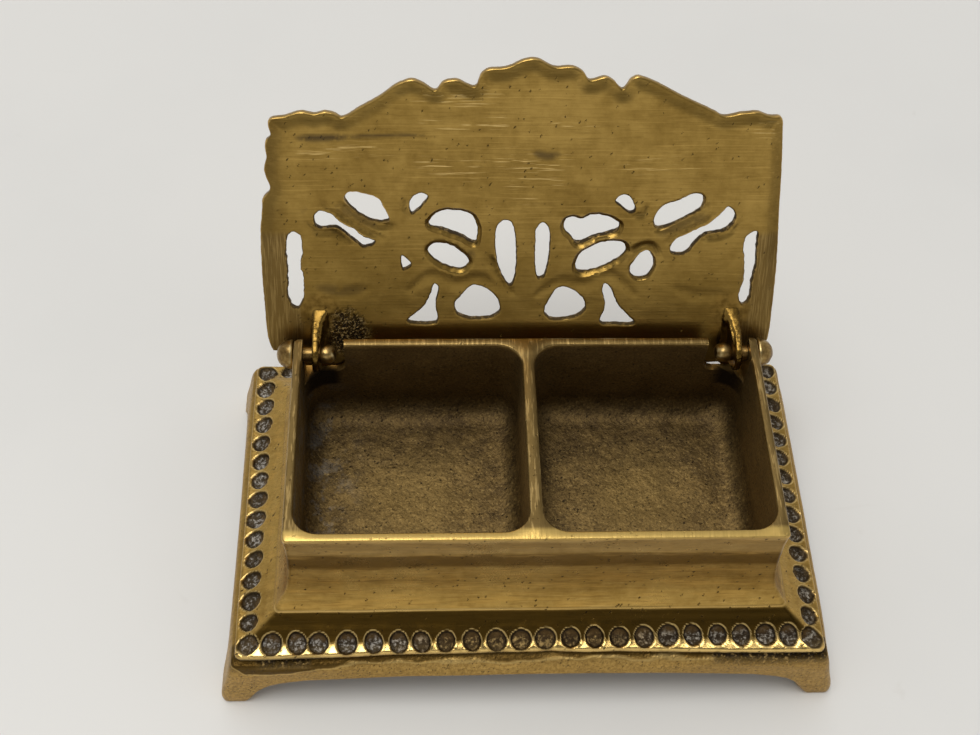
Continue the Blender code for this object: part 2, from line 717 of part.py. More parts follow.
def lid(parts, cutters, root):
    sheet = lid_sheet(parts)
    solid = sheet.modifiers.new("thickness", "SOLIDIFY")
    solid.thickness = LID_THICKNESS
    solid.offset = 1
    sheet.location = (0, HINGE_Y, HINGE_HEIGHT)
    sheet.rotation_euler.x = -OPEN_ANGLE
    sheet.parent = root
    for side, word in ((-1, "left"), (1, "right")):
        shape = lug(f"lug_{word}", side, cutters)
        bore = round_bar(
            f"lug_bore_{word}", PIN_RADIUS + PIN_CLEARANCE,
            side * (LUG_INNER - LUG_SIDE_GAP), side * (LUG_OUTER + LUG_SIDE_GAP / 2), cutters,
        )
        for tool, operation in ((shape, "UNION"), (as_cutter(bore), "DIFFERENCE")):
            tool.location = sheet.location
            tool.rotation_euler = sheet.rotation_euler
            combine(sheet, tool, operation)
    return sheet


def centre_on_origin(root, parts):
    """Moves everything so that the middle of its bounding box stands over the origin."""
    bpy.context.view_layer.update()
    graph = bpy.context.evaluated_depsgraph_get()
    low, high = [math.inf] * 2, [-math.inf] * 2
    for obj in parts.objects:
        evaluated = obj.evaluated_get(graph)
        for corner in evaluated.bound_box:
            place = evaluated.matrix_world @ Vector(corner)
            for axis in range(2):
                low[axis] = min(low[axis], place[axis])
                high[axis] = max(high[axis], place[axis])
    root.location = (-(low[0] + high[0]) / 2, -(low[1] + high[1]) / 2, 0)
    bpy.context.view_layer.update()


def main():
    clear_scene()
    parts = new_collection("stamp_box")
    cutters = new_collection("cutters")
    root = bpy.data.objects.new("stamp_box_origin", None)
    parts.objects.link(root)
    cast = brass("cast_brass", (0.42, 0.27, 0.08), 0.34)
    lid_brass = brass("lid_brass", (0.36, 0.24, 0.07), 0.38)
    rivet_brass = brass("rivet_brass", (0.38, 0.30, 0.15), 0.36)
    pieces = [
        (box_body(parts, cutters, root), cast),
        (lid(parts, cutters, root), lid_brass),
        (rivet("hinge_pin_left", -1, parts, root), rivet_brass),
        (rivet("hinge_pin_right", 1, parts, root), rivet_brass),
    ]
    for piece, material in pieces:
        piece.data.materials.append(material)
        piece.data.shade_smooth()
        if hasattr(piece.data, "set_sharp_from_angle"):
            piece.data.set_sharp_from_angle(angle=math.radians(35))
    centre_on_origin(root, parts)
    hinge = root.location + Vector((0, HINGE_Y, HINGE_HEIGHT))
    print("hinge axis at", [round(value, 6) for value in hinge])


main()
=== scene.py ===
import math

import bmesh
import bpy
from mathutils import Matrix, Vector, noise
from mathutils.geometry import delaunay_2d_cdt
from mathutils.kdtree import KDTree


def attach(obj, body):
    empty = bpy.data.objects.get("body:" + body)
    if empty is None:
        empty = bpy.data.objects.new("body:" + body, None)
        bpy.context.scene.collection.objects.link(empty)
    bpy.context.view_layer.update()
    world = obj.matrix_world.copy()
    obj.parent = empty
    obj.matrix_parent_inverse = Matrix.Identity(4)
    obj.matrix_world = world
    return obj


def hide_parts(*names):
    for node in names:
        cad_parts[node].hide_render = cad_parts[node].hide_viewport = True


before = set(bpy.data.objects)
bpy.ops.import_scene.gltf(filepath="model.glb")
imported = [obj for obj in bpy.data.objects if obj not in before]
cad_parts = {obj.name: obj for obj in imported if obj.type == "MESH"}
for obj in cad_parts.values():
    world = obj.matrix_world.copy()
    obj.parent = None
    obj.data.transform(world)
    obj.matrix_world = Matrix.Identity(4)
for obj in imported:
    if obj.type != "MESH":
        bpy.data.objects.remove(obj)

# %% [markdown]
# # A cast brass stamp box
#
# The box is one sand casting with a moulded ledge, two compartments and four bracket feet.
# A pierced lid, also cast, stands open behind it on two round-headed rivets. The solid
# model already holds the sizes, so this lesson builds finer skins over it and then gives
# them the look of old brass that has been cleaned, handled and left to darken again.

noise.seed_set(7)
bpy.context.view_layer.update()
MM = 0.001
SHIFT_Y = -7.214 * MM

# %% [markdown]
# ## Camera
#
# The photograph looks down steeply from the front. A lens of about 52 mm at a little under
# a quarter of a metre gives the same perspective, so the near feet look larger.

# %% Camera
IMAGE_WIDTH = 980
SENSOR_WIDTH = 36.0
FOCAL_PIXELS = 1405.307
CAMERA_ELEVATION = 0.948
CAMERA_AZIMUTH = -0.077
CAMERA_ROLL = 0.058
CAMERA_PLACE = Vector((-17.126 * MM, -124.149 * MM + SHIFT_Y, 227.45 * MM))


def aimed_camera():
    data = bpy.data.cameras.new("camera")
    data.sensor_width = SENSOR_WIDTH
    data.lens = FOCAL_PIXELS / IMAGE_WIDTH * SENSOR_WIDTH
    data.clip_start = 0.005
    back = Vector((
        math.sin(CAMERA_AZIMUTH) * math.cos(CAMERA_ELEVATION),
        -math.cos(CAMERA_AZIMUTH) * math.cos(CAMERA_ELEVATION),
        math.sin(CAMERA_ELEVATION),
    )).normalized()
    side = Vector((0, 0, 1)).cross(back).normalized()
    above = back.cross(side)
    turn, lean = math.cos(CAMERA_ROLL), math.sin(CAMERA_ROLL)
    right = side * turn + above * lean
    up = above * turn - side * lean
    camera = bpy.data.objects.new("camera", data)
    camera.matrix_world = (
        Matrix.Translation(CAMERA_PLACE) @ Matrix((right, up, back)).transposed().to_4x4()
    )
    bpy.context.scene.collection.objects.link(camera)
    bpy.context.scene.camera = camera
    return camera


camera = aimed_camera()
bpy.context.scene.view_settings.view_transform = "Standard"
print("camera lens in mm:", round(camera.data.lens, 2))

# %% [markdown]
# ## Helpers
#
# Small helpers serve every piece: a curve through given points, a value read off a
# list of pairs, a soft step, a search tree, modifiers settled into a mesh, faces turned
# into an object, and a test of what lies inside a loop.

# %% Helpers
SHARP_PLAIN = math.radians(40)
SIDES = ((-1, "left"), (1, "right"))


def curve_through(points, step, closed=False):
    """A centripetal Catmull-Rom curve through the points, sampled at about the step."""
    count = len(points)
    run = []
    for i in range(count if closed else count - 1):
        around = []
        for k in (i - 1, i, i + 1, i + 2):
            around.append(points[k % count] if closed else points[min(max(k, 0), count - 1)])
        knots = [0]
        for start, end in zip(around, around[1:]):
            knots.append(knots[-1] + math.sqrt(max((end - start).length, 1e-9)))
        steps = max(1, round((around[2] - around[1]).length / step))
        for k in range(steps):
            t = knots[1] + (knots[2] - knots[1]) * k / steps

            def between(p, q, low, high):
                return p + (q - p) * ((t - knots[low]) / (knots[high] - knots[low]))

            first = between(around[0], around[1], 0, 1)
            second = between(around[1], around[2], 1, 2)
            third = between(around[2], around[3], 2, 3)
            run.append(between(between(first, second, 0, 2), between(second, third, 1, 3), 1, 2))
    if not closed:
        run.append(points[-1])
    return run


def read_off(pairs, place):
    """The value at a place, from a list of (place, value) pairs in order."""
    if place <= pairs[0][0]:
        return pairs[0][1]
    for (a, low), (b, high) in zip(pairs, pairs[1:]):
        if place <= b:
            return low + (high - low) * (place - a) / (b - a)
    return pairs[-1][1]


def smooth(value):
    value = min(max(value, 0.0), 1.0)
    return value * value * (3 - 2 * value)


def tree_of(points):
    tree = KDTree(len(points))
    for i, point in enumerate(points):
        tree.insert((point.x, point.y, 0), i)
    tree.balance()
    return tree


def settle(piece):
    """Runs the piece's modifiers and keeps the result as its plain mesh."""
    graph = bpy.context.evaluated_depsgraph_get()
    piece.data = bpy.data.meshes.new_from_object(
        piece.evaluated_get(graph), preserve_all_data_layers=True, depsgraph=graph,
    )
    piece.modifiers.clear()


def new_piece(name, bm):
    bmesh.ops.recalc_face_normals(bm, faces=bm.faces)
    mesh = bpy.data.meshes.new(name)
    bm.to_mesh(mesh)
    bm.free()
    piece = bpy.data.objects.new(name, mesh)
    bpy.context.scene.collection.objects.link(piece)
    mesh.shade_smooth()
    mesh.set_sharp_from_angle(angle=SHARP_PLAIN)
    print(name, "has", len(mesh.vertices), "vertices and", len(mesh.polygons), "faces")
    return piece


def inside(point, loop):
    """Whether the point lies inside the loop, by counting crossings."""
    odd = False
    for a, b in zip(loop, loop[1:] + loop[:1]):
        if (a.y > point.y) != (b.y > point.y):
            odd = odd != (point.x < a.x + (point.y - a.y) * (b.x - a.x) / (b.y - a.y))
    return odd


# %% [markdown]
# ## The sizes of the casting
#
# The numbers are the solid model's own. Heights of the mouldings are shares of the rise
# from the nose of the ledge to the rim, so that they can be judged by eye on the front.

# %% Sizes of the box
BASE_WIDTH = 0.1000
BASE_DEPTH = 0.0612
BASE_SHIFT = 0.0008
BOX_WIDTH = 0.0793
BOX_DEPTH = 0.0390
RIM_HEIGHT = 0.0355
RIM_ROUND = 0.00035
NOSE_HEIGHT = 0.0125
FASCIA_HEIGHT = 0.0112
GROOVE_DEPTH = 0.0006
BASE_CORNER = 0.0011
BOX_CORNER = 0.0007
FOOT_ROUND = 0.0003
SIDE_SPLAY = 0.0020
FRONT_SPLAY = 0.0008
WALL = 0.00145
DIVIDER = 0.0021
FLOOR_HEIGHT = 0.0160
FLOOR_THICKNESS = 0.0022
POCKET_CORNER = 0.0042
FLOOR_ROUND = 0.0040
SKIRT = 0.0024
LEDGE_UNDERSIDE = 0.0105
HOLLOW_CORNER = 0.0030
ARCH_CROWN = 0.0081
INNER_HALF_WIDTH = BOX_WIDTH / 2 - WALL
INNER_HALF_DEPTH = BOX_DEPTH / 2 - WALL

MOULDING_SHARES = [
    (-0.003, 0.96), (-0.015, 0.86), (-0.015, 0.70), (-0.010, 0.59), (0.010, 0.48),
    (0.035, 0.39), (0.096, 0.283), (0.150, 0.240), (0.200, 0.204), (0.237, 0.181),
    (0.245, 0.1785), (0.252, 0.174), (0.262, 0.167), (0.282, 0.159), (0.330, 0.146),
    (0.400, 0.124), (0.500, 0.098), (0.600, 0.068), (0.700, 0.045), (0.760, 0.036),
    (0.820, 0.031), (0.858, 0.0275), (0.874, 0.018), (0.880, -0.012),
]
SPLAY_SHARES = [(0.03, 0.97), (0.12, 1.0), (0.25, 0.85), (0.48, 0.5), (0.72, 0.2), (0.95, 0)]
ARCH_SHARES = [
    (0.078, 0.00), (0.086, 0.08), (0.096, 0.20), (0.104, 0.34), (0.116, 0.49), (0.142, 0.645),
    (0.180, 0.75), (0.260, 0.86), (0.580, 0.97), (1.000, 1.00),
]

# %% [markdown]
# ## The outside of the casting
#
# A moulding has the same section all round, so the skin is a stack of rings: each ring
# is a rectangle with round corners, and ring after ring follows the section down from the
# rim to the feet. The rings are closest together on the ledge, where the punched pits
# need fine faces, and every second point is dropped elsewhere to keep the mesh light.

# %% Rings
FINE_ACROSS = 384
FINE_ALONG = 228
FINE_CORNER = 8


def ring_points(half_width, half_depth, corner, centre_y, level, counts=None):
    """Points round a rectangle with arcs for corners, counted from the +X +Y corner."""
    bend, across, along = counts or (
        FINE_CORNER // level, FINE_ACROSS // level, FINE_ALONG // level,
    )
    corners = []
    for quarter in range(4):
        side_x = 1 if quarter in (0, 3) else -1
        side_y = 1 if quarter in (0, 1) else -1
        corners.append(Vector((
            side_x * (half_width - corner), side_y * (half_depth - corner) + centre_y, 0,
        )))

    def on_arc(quarter, share):
        angle = (quarter + share) * math.pi / 2
        return corners[quarter % 4] + Vector((math.cos(angle), math.sin(angle), 0)) * corner

    points = []
    for quarter in range(4):
        points += [on_arc(quarter, k / bend) for k in range(bend)]
        steps = (across, along)[quarter % 2]
        start, end = on_arc(quarter, 1), on_arc(quarter + 1, 0)
        points += [start.lerp(end, k / steps) for k in range(steps)]
    return points


def ledge_points(out_share, level):
    """A ring at a share of the way from the rim's outline to the base's."""
    return ring_points(
        BOX_WIDTH / 2 + out_share * (BASE_WIDTH - BOX_WIDTH) / 2,
        BOX_DEPTH / 2 + out_share * (BASE_DEPTH - BOX_DEPTH) / 2,
        BOX_CORNER + max(out_share, 0) * (BASE_CORNER - BOX_CORNER),
        out_share * BASE_SHIFT, level,
    )


def drawn_in(point, inset, centre_y=BASE_SHIFT):
    """The point drawn in towards the middle, by the same amount on every side."""
    share_x = 1 - inset / (BASE_WIDTH / 2)
    share_y = 1 - inset / (BASE_DEPTH / 2)
    return Vector((point.x * share_x, centre_y + (point.y - centre_y) * share_y, point.z))


def bridge(bm, upper, lower):
    """Faces between two rings, one of which may have half as many points."""
    if len(upper) < len(lower):
        upper, lower = lower, upper
    count = len(lower)
    for i in range(count):
        j = (i + 1) % count
        if len(upper) == count:
            bm.faces.new((upper[i], upper[j], lower[j], lower[i]))
        else:
            a, b, c = upper[2 * i], upper[2 * i + 1], upper[(2 * i + 2) % len(upper)]
            bm.faces.new((a, b, lower[i]))
            bm.faces.new((b, lower[j], lower[i]))
            bm.faces.new((b, c, lower[j]))


# %% [markdown]
# ## Wear and casting flaws
#
# A sand casting is never straight. The fascia under the nose has been ground away towards
# the middle of the front, and long soft waves run along every moulding. The waves are
# noise, read at each point's own place. The noise has a fixed seed, so every run gives the
# same casting.

# %% Flaws
GROUND_AWAY = [
    (-0.050, 0.0), (-0.044, 0.0), (-0.033, 0.0004), (-0.025, 0.0010), (-0.015, 0.0013),
    (-0.006, 0.00150), (0.000, 0.00145), (0.003, 0.00175), (0.006, 0.0013), (0.009, 0.0011),
    (0.014, 0.0012), (0.018, 0.0011), (0.025, 0.0007), (0.031, 0.00035), (0.043, 0.0001),
    (0.050, 0.0),
]
LONG_WAVE = 0.00011
LONG_WAVE_SIZE = 0.011
SHORT_WAVE = 0.00003
SHORT_WAVE_SIZE = 0.0024


def ground_away(point):
    """How much of the fascia is missing here. The front is worn most."""
    front = -(point.y - BASE_SHIFT) / (BASE_DEPTH / 2)
    worn = read_off(GROUND_AWAY, point.x)
    return worn if front > 0.9 else 0.35 * worn * smooth(abs(front) * 1.1 - 0.1)


def cast_wave(point):
    slow = noise.noise_vector(point / LONG_WAVE_SIZE) * LONG_WAVE
    return slow + noise.noise_vector(point / SHORT_WAVE_SIZE) * SHORT_WAVE


def arch_height(point):
    """Height of the lower edge: the low arch between two feet."""
    gap_x = BASE_WIDTH / 2 - abs(point.x)
    gap_y = BASE_DEPTH / 2 - abs(point.y - BASE_SHIFT)
    along = max(gap_x, gap_y) / (BASE_WIDTH / 2)
    return ARCH_CROWN * read_off(ARCH_SHARES, along)


# %% [markdown]
# ## Rows from the rim to the feet
#
# The rows start at the soft edge of the rim and follow the moulding down. Under the nose
# runs a narrow groove, below it the fascia with the arches between the feet, and the last
# rows turn round the lower edge to the underside. Four more rows shape the hollow inside.

# %% The outside of the box
GROOVE_ROWS = ((0.25, 0.6), (0.5, 1.0), (0.75, 0.9), (1.0, 0.35))
FOOT_ROWS = ((0.12, 0.5), (0.5, 0.86), (1.0, 1.0), (3.4, 1.0), (4.4, 0.9), (4.8, 0.4))
FASCIA_STEPS = 16


def outside_rows():
    """(points, level) for each ring, from under the rim down to the underside."""
    rise = RIM_HEIGHT - NOSE_HEIGHT
    scale = Vector(((BASE_DEPTH - BOX_DEPTH) / 2, rise))
    rows = []
    rim = ledge_points(0, 2)
    for angle in (90, 60, 30, 0):
        turn = math.radians(angle)
        inset = RIM_ROUND * (1 - math.cos(turn))
        rows.append([
            drawn_in(p + Vector((0, 0, RIM_HEIGHT - RIM_ROUND * (1 - math.sin(turn)))), inset, 0)
            for p in rim
        ])
    profile = [Vector((out * scale.x, up * scale.y)) for out, up in MOULDING_SHARES]
    for index, place in enumerate(curve_through(profile, 0.00034)):
        out = place.x / scale.x
        if out < 0.2 and index % 2:
            continue
        row = []
        for point in ledge_points(out, 1 if out > 0.27 else 2):
            point.z = NOSE_HEIGHT + place.y
            worn = ground_away(point) * 0.55 * smooth((out - 0.72) / 0.16)
            row.append(drawn_in(point, worn) + cast_wave(point))
        rows.append(row)
    nose_out = MOULDING_SHARES[-1][0]
    for share, dip in GROOVE_ROWS:
        row = []
        for point in ledge_points(nose_out, 1):
            skirt_inset = FASCIA_HEIGHT * 0.05 - (1 - nose_out) * (BASE_WIDTH - BOX_WIDTH) / 2
            worn = ground_away(point) * (0.55 + 0.45 * share)
            inset = worn + dip * GROOVE_DEPTH + skirt_inset * smooth(share * 1.6 - 0.6)
            point.z = NOSE_HEIGHT - 0.0003 + (FASCIA_HEIGHT - NOSE_HEIGHT + 0.0003) * share
            row.append(drawn_in(point, inset) + cast_wave(point))
        rows.append(row)
    base = ring_points(BASE_WIDTH / 2, BASE_DEPTH / 2, BASE_CORNER, BASE_SHIFT, 2)
    for k in range(FASCIA_STEPS + 1):
        down = k / FASCIA_STEPS
        row = []
        for point in base:
            low = arch_height(point)
            top = FASCIA_HEIGHT - 0.0001
            point = point + Vector((0, 0, top + (low + FOOT_ROUND - top) * down ** 1.15))
            splay = read_off(SPLAY_SHARES, point.z / FASCIA_HEIGHT)
            worn = ground_away(point) * (1 - down) ** 1.3
            worn += FASCIA_HEIGHT * 0.05 * (1 - min(k / 6, 1)) ** 2
            point.x *= 1 + SIDE_SPLAY * splay / (BASE_WIDTH / 2)
            point.y += (point.y - BASE_SHIFT) * FRONT_SPLAY * splay / (BASE_DEPTH / 2)
            row.append(drawn_in(point, worn) + cast_wave(point) * (1 - 0.6 * k / FASCIA_STEPS))
        rows.append(row)
    last = rows[-1]
    for inset, drop in FOOT_ROWS:
        rows.append([
            drawn_in(Vector((p.x, p.y, p.z - FOOT_ROUND * drop)), FOOT_ROUND * inset) for p in last
        ])
    return rows


def inner_rows():
    """The hollow under the ledge and the one under the compartments, upside down."""
    rows = []
    for half_width, half_depth, centre_y, height in (
        (BASE_WIDTH / 2 - SKIRT, BASE_DEPTH / 2 - SKIRT, BASE_SHIFT, LEDGE_UNDERSIDE - 0.0006),
        (BASE_WIDTH / 2 - SKIRT - 0.0006, BASE_DEPTH / 2 - SKIRT - 0.0006, BASE_SHIFT,
         LEDGE_UNDERSIDE),
        (INNER_HALF_WIDTH, INNER_HALF_DEPTH, 0, LEDGE_UNDERSIDE),
        (INNER_HALF_WIDTH, INNER_HALF_DEPTH, 0, FLOOR_HEIGHT - FLOOR_THICKNESS),
    ):
        ring = ring_points(half_width, half_depth, HOLLOW_CORNER, centre_y, 4)
        rows.append([Vector((p.x, p.y, height)) for p in ring])
    return rows


# %% [markdown]
# ## The compartments
#
# Each compartment is a pocket with round corners and a round edge to its floor. It is a
# second stack of rings that runs down inside the wall, with a rougher skin, since the core
# sand was coarser than the sand of the mould. A flat plate between the outline of the rim
# and the two pockets closes the top: that plate is the part that was filed flat.

# %% Compartments
POCKET_STEPS = (9, 60, 58)
POCKET_ROUGHNESS = 0.00009
POCKET_GRAIN = 0.0011
FLOOR_GRAIN = 0.00056
RIM_BREAK = 0.00022
WALL_STEPS = 20
ROUND_STEPS = 10


def sand_skin(point, side):
    """The point moved as coarse core sand leaves it, less so towards the filed rim."""
    buried = smooth((RIM_HEIGHT - point.z) / 0.002)
    rough = noise.noise_vector(point / POCKET_GRAIN + Vector((7, 3, side))) * POCKET_ROUGHNESS
    coarse = noise.noise_vector(point / 0.006 + Vector((1, side, 5))) * 0.00022
    return point + (rough + coarse) * buried


def pocket_rows(side):
    half_width = (INNER_HALF_WIDTH - DIVIDER / 2) / 2
    centre_x = side * (INNER_HALF_WIDTH + DIVIDER / 2) / 2
    section = [(-RIM_BREAK, RIM_HEIGHT), (-RIM_BREAK * 0.3, RIM_HEIGHT - RIM_BREAK * 0.4)]
    section.append((0, RIM_HEIGHT - RIM_BREAK * 1.4))
    top = RIM_HEIGHT - 0.0010
    for k in range(WALL_STEPS):
        section.append((0, top + (FLOOR_HEIGHT + FLOOR_ROUND - top) * k / WALL_STEPS))
    for k in range(ROUND_STEPS):
        angle = math.pi / 2 * k / (ROUND_STEPS - 1)
        inset = FLOOR_ROUND * (1 - math.cos(angle))
        section.append((inset, FLOOR_HEIGHT + FLOOR_ROUND * (1 - math.sin(angle))))
    rows = []
    for inset, height in section:
        corner = POCKET_CORNER - max(inset, 0) * 0.45
        ring = ring_points(
            half_width - inset, INNER_HALF_DEPTH - inset, corner, 0, 1, POCKET_STEPS
        )
        rows.append([sand_skin(Vector((p.x + centre_x, p.y, height)), side) for p in ring])
    return rows


def floor_points(side):
    """A honeycomb of points across the flat of a compartment's floor."""
    half_width = (INNER_HALF_WIDTH - DIVIDER / 2) / 2 - FLOOR_ROUND
    half_depth = INNER_HALF_DEPTH - FLOOR_ROUND
    corner = POCKET_CORNER - FLOOR_ROUND * 0.45
    centre_x = side * (INNER_HALF_WIDTH + DIVIDER / 2) / 2
    rows, columns = int(half_depth / FLOOR_GRAIN / 0.866), int(half_width / FLOOR_GRAIN)
    points = []
    for row in range(-rows, rows + 1):
        for column in range(-columns, columns + 1):
            x, y = (column + row % 2 / 2) * FLOOR_GRAIN, row * FLOOR_GRAIN * 0.866
            past = Vector((
                max(abs(x) - half_width + corner, 0), max(abs(y) - half_depth + corner, 0),
            ))
            if past.length < corner - FLOOR_GRAIN * 0.7:
                points.append(sand_skin(Vector((x + centre_x, y, FLOOR_HEIGHT)), side))
    return points


# %% [markdown]
# ## One skin
#
# The stacks of rings become one closed mesh: faces between neighbouring rings, a plate
# between the rim and the two pockets, and a fine plate for each floor.

# %% Join the skin
def plate(bm, outer, holes=(), extra=()):
    """Triangles between loops of vertices that are already in the mesh, and extra ones."""
    loops = [outer, *holes]
    points, edges = [], []
    for loop in loops:
        first = len(points)
        points += [vert.co.xy for vert in loop]
        edges += [(first + i, first + (i + 1) % len(loop)) for i in range(len(loop))]
    everyone = [vert for loop in loops for vert in loop] + list(extra)
    points += [vert.co.xy for vert in extra]
    outlines = [[vert.co.xy for vert in hole] for hole in holes]
    verts, _, faces, sources, _, _ = delaunay_2d_cdt(points, edges, [], 1, 1e-7)
    for face in faces:
        middle = sum((verts[i] for i in face), Vector((0, 0))) / len(face)
        if not any(inside(middle, outline) for outline in outlines):
            bm.faces.new([everyone[sources[i][0]] for i in face])


def box_skin():
    bm = bmesh.new()
    columns = [[bm.verts.new(p) for p in row] for row in outside_rows() + inner_rows()]
    pockets = []
    for side in (-1, 1):
        pockets.append([[bm.verts.new(p) for p in row] for row in pocket_rows(side)])
        plate(bm, pockets[-1][-1], extra=[bm.verts.new(p) for p in floor_points(side)])
    for stack in (columns, *pockets):
        for upper, lower in zip(stack, stack[1:]):
            bridge(bm, upper, lower)
    bm.faces.new(columns[-1])
    plate(bm, columns[0], [pocket[0] for pocket in pockets])
    bmesh.ops.translate(bm, verts=bm.verts, vec=(0, SHIFT_Y, 0))
    return new_piece("box_casting", bm)


box = box_skin()

# %% [markdown]
# ## The lid
#
# The lid is a thin casting whose outline and openings were cut by hand, so nothing about
# it repeats. It is drawn flat, as a sheet of small triangles between its listed outlines,
# which keeps the pattern easy to read. Every point then gets two heights: one for the
# underside and one for the outer face.

# %% Sizes of the lid and the hinge
OPEN_ANGLE = math.radians(115)
SINE, COSINE = math.sin(OPEN_ANGLE), math.cos(OPEN_ANGLE)
HINGE_DROP = 0.0029
HINGE_SET_IN = 0.00115
HINGE = Vector((0, BOX_DEPTH / 2 - HINGE_SET_IN + SHIFT_Y, RIM_HEIGHT - HINGE_DROP))
LID_WIDTH = 0.0870
LID_SHIFT = -0.0008
LID_REACH = 0.0403
LID_THICKNESS = 0.0018
LID_UNDERSIDE = HINGE_DROP + 0.00025
LID_TAIL = 0.0011
LID_CURL = 0.0005
LIP_REACH = 0.00332
LIP_TAB_REACH = 0.0042
LIP_LIFT = 0.00012
LUG_ROOT = 0.0063

OUTLINE_SHARES = [
    (-0.985, -0.027), (-1.00, 0.02), (-1.01, 0.25), (-1.01, 0.42), (-1.005, 0.54),
    (-0.995, 0.62), (-0.99, 0.67), (-0.965, 0.70), (-0.96, 0.72), (-0.972, 0.76),
    (-0.978, 0.80), (-0.966, 0.85), (-0.97, 0.89), (-0.964, 0.92), (-0.946, 0.94),
    (-0.953, 0.98), (-0.95, 1.003), (-0.93, 1.013), (-0.895, 1.018), (-0.83, 1.037),
    (-0.785, 1.028), (-0.74, 1.037), (-0.705, 1.027), (-0.685, 1.014), (-0.62, 1.053),
    (-0.54, 1.103), (-0.48, 1.15), (-0.425, 1.17), (-0.385, 1.155), (-0.34, 1.127),
    (-0.31, 1.16), (-0.265, 1.17), (-0.195, 1.143), (-0.175, 1.19), (-0.15, 1.212),
    (-0.08, 1.22), (-0.02, 1.25), (0.03, 1.254), (0.09, 1.223), (0.165, 1.224),
    (0.20, 1.20), (0.22, 1.171), (0.28, 1.184), (0.305, 1.173), (0.347, 1.135),
    (0.375, 1.175), (0.40, 1.187), (0.46, 1.165), (0.565, 1.108), (0.69, 1.046),
    (0.73, 1.025), (0.80, 1.038), (0.86, 1.041), (0.90, 1.026), (0.945, 1.02),
    (0.955, 0.965), (0.965, 0.86), (0.973, 0.75), (0.98, 0.62), (0.993, 0.44),
    (1.00, 0.25), (1.00, 0.10), (0.995, 0.02), (0.985, -0.027),
]

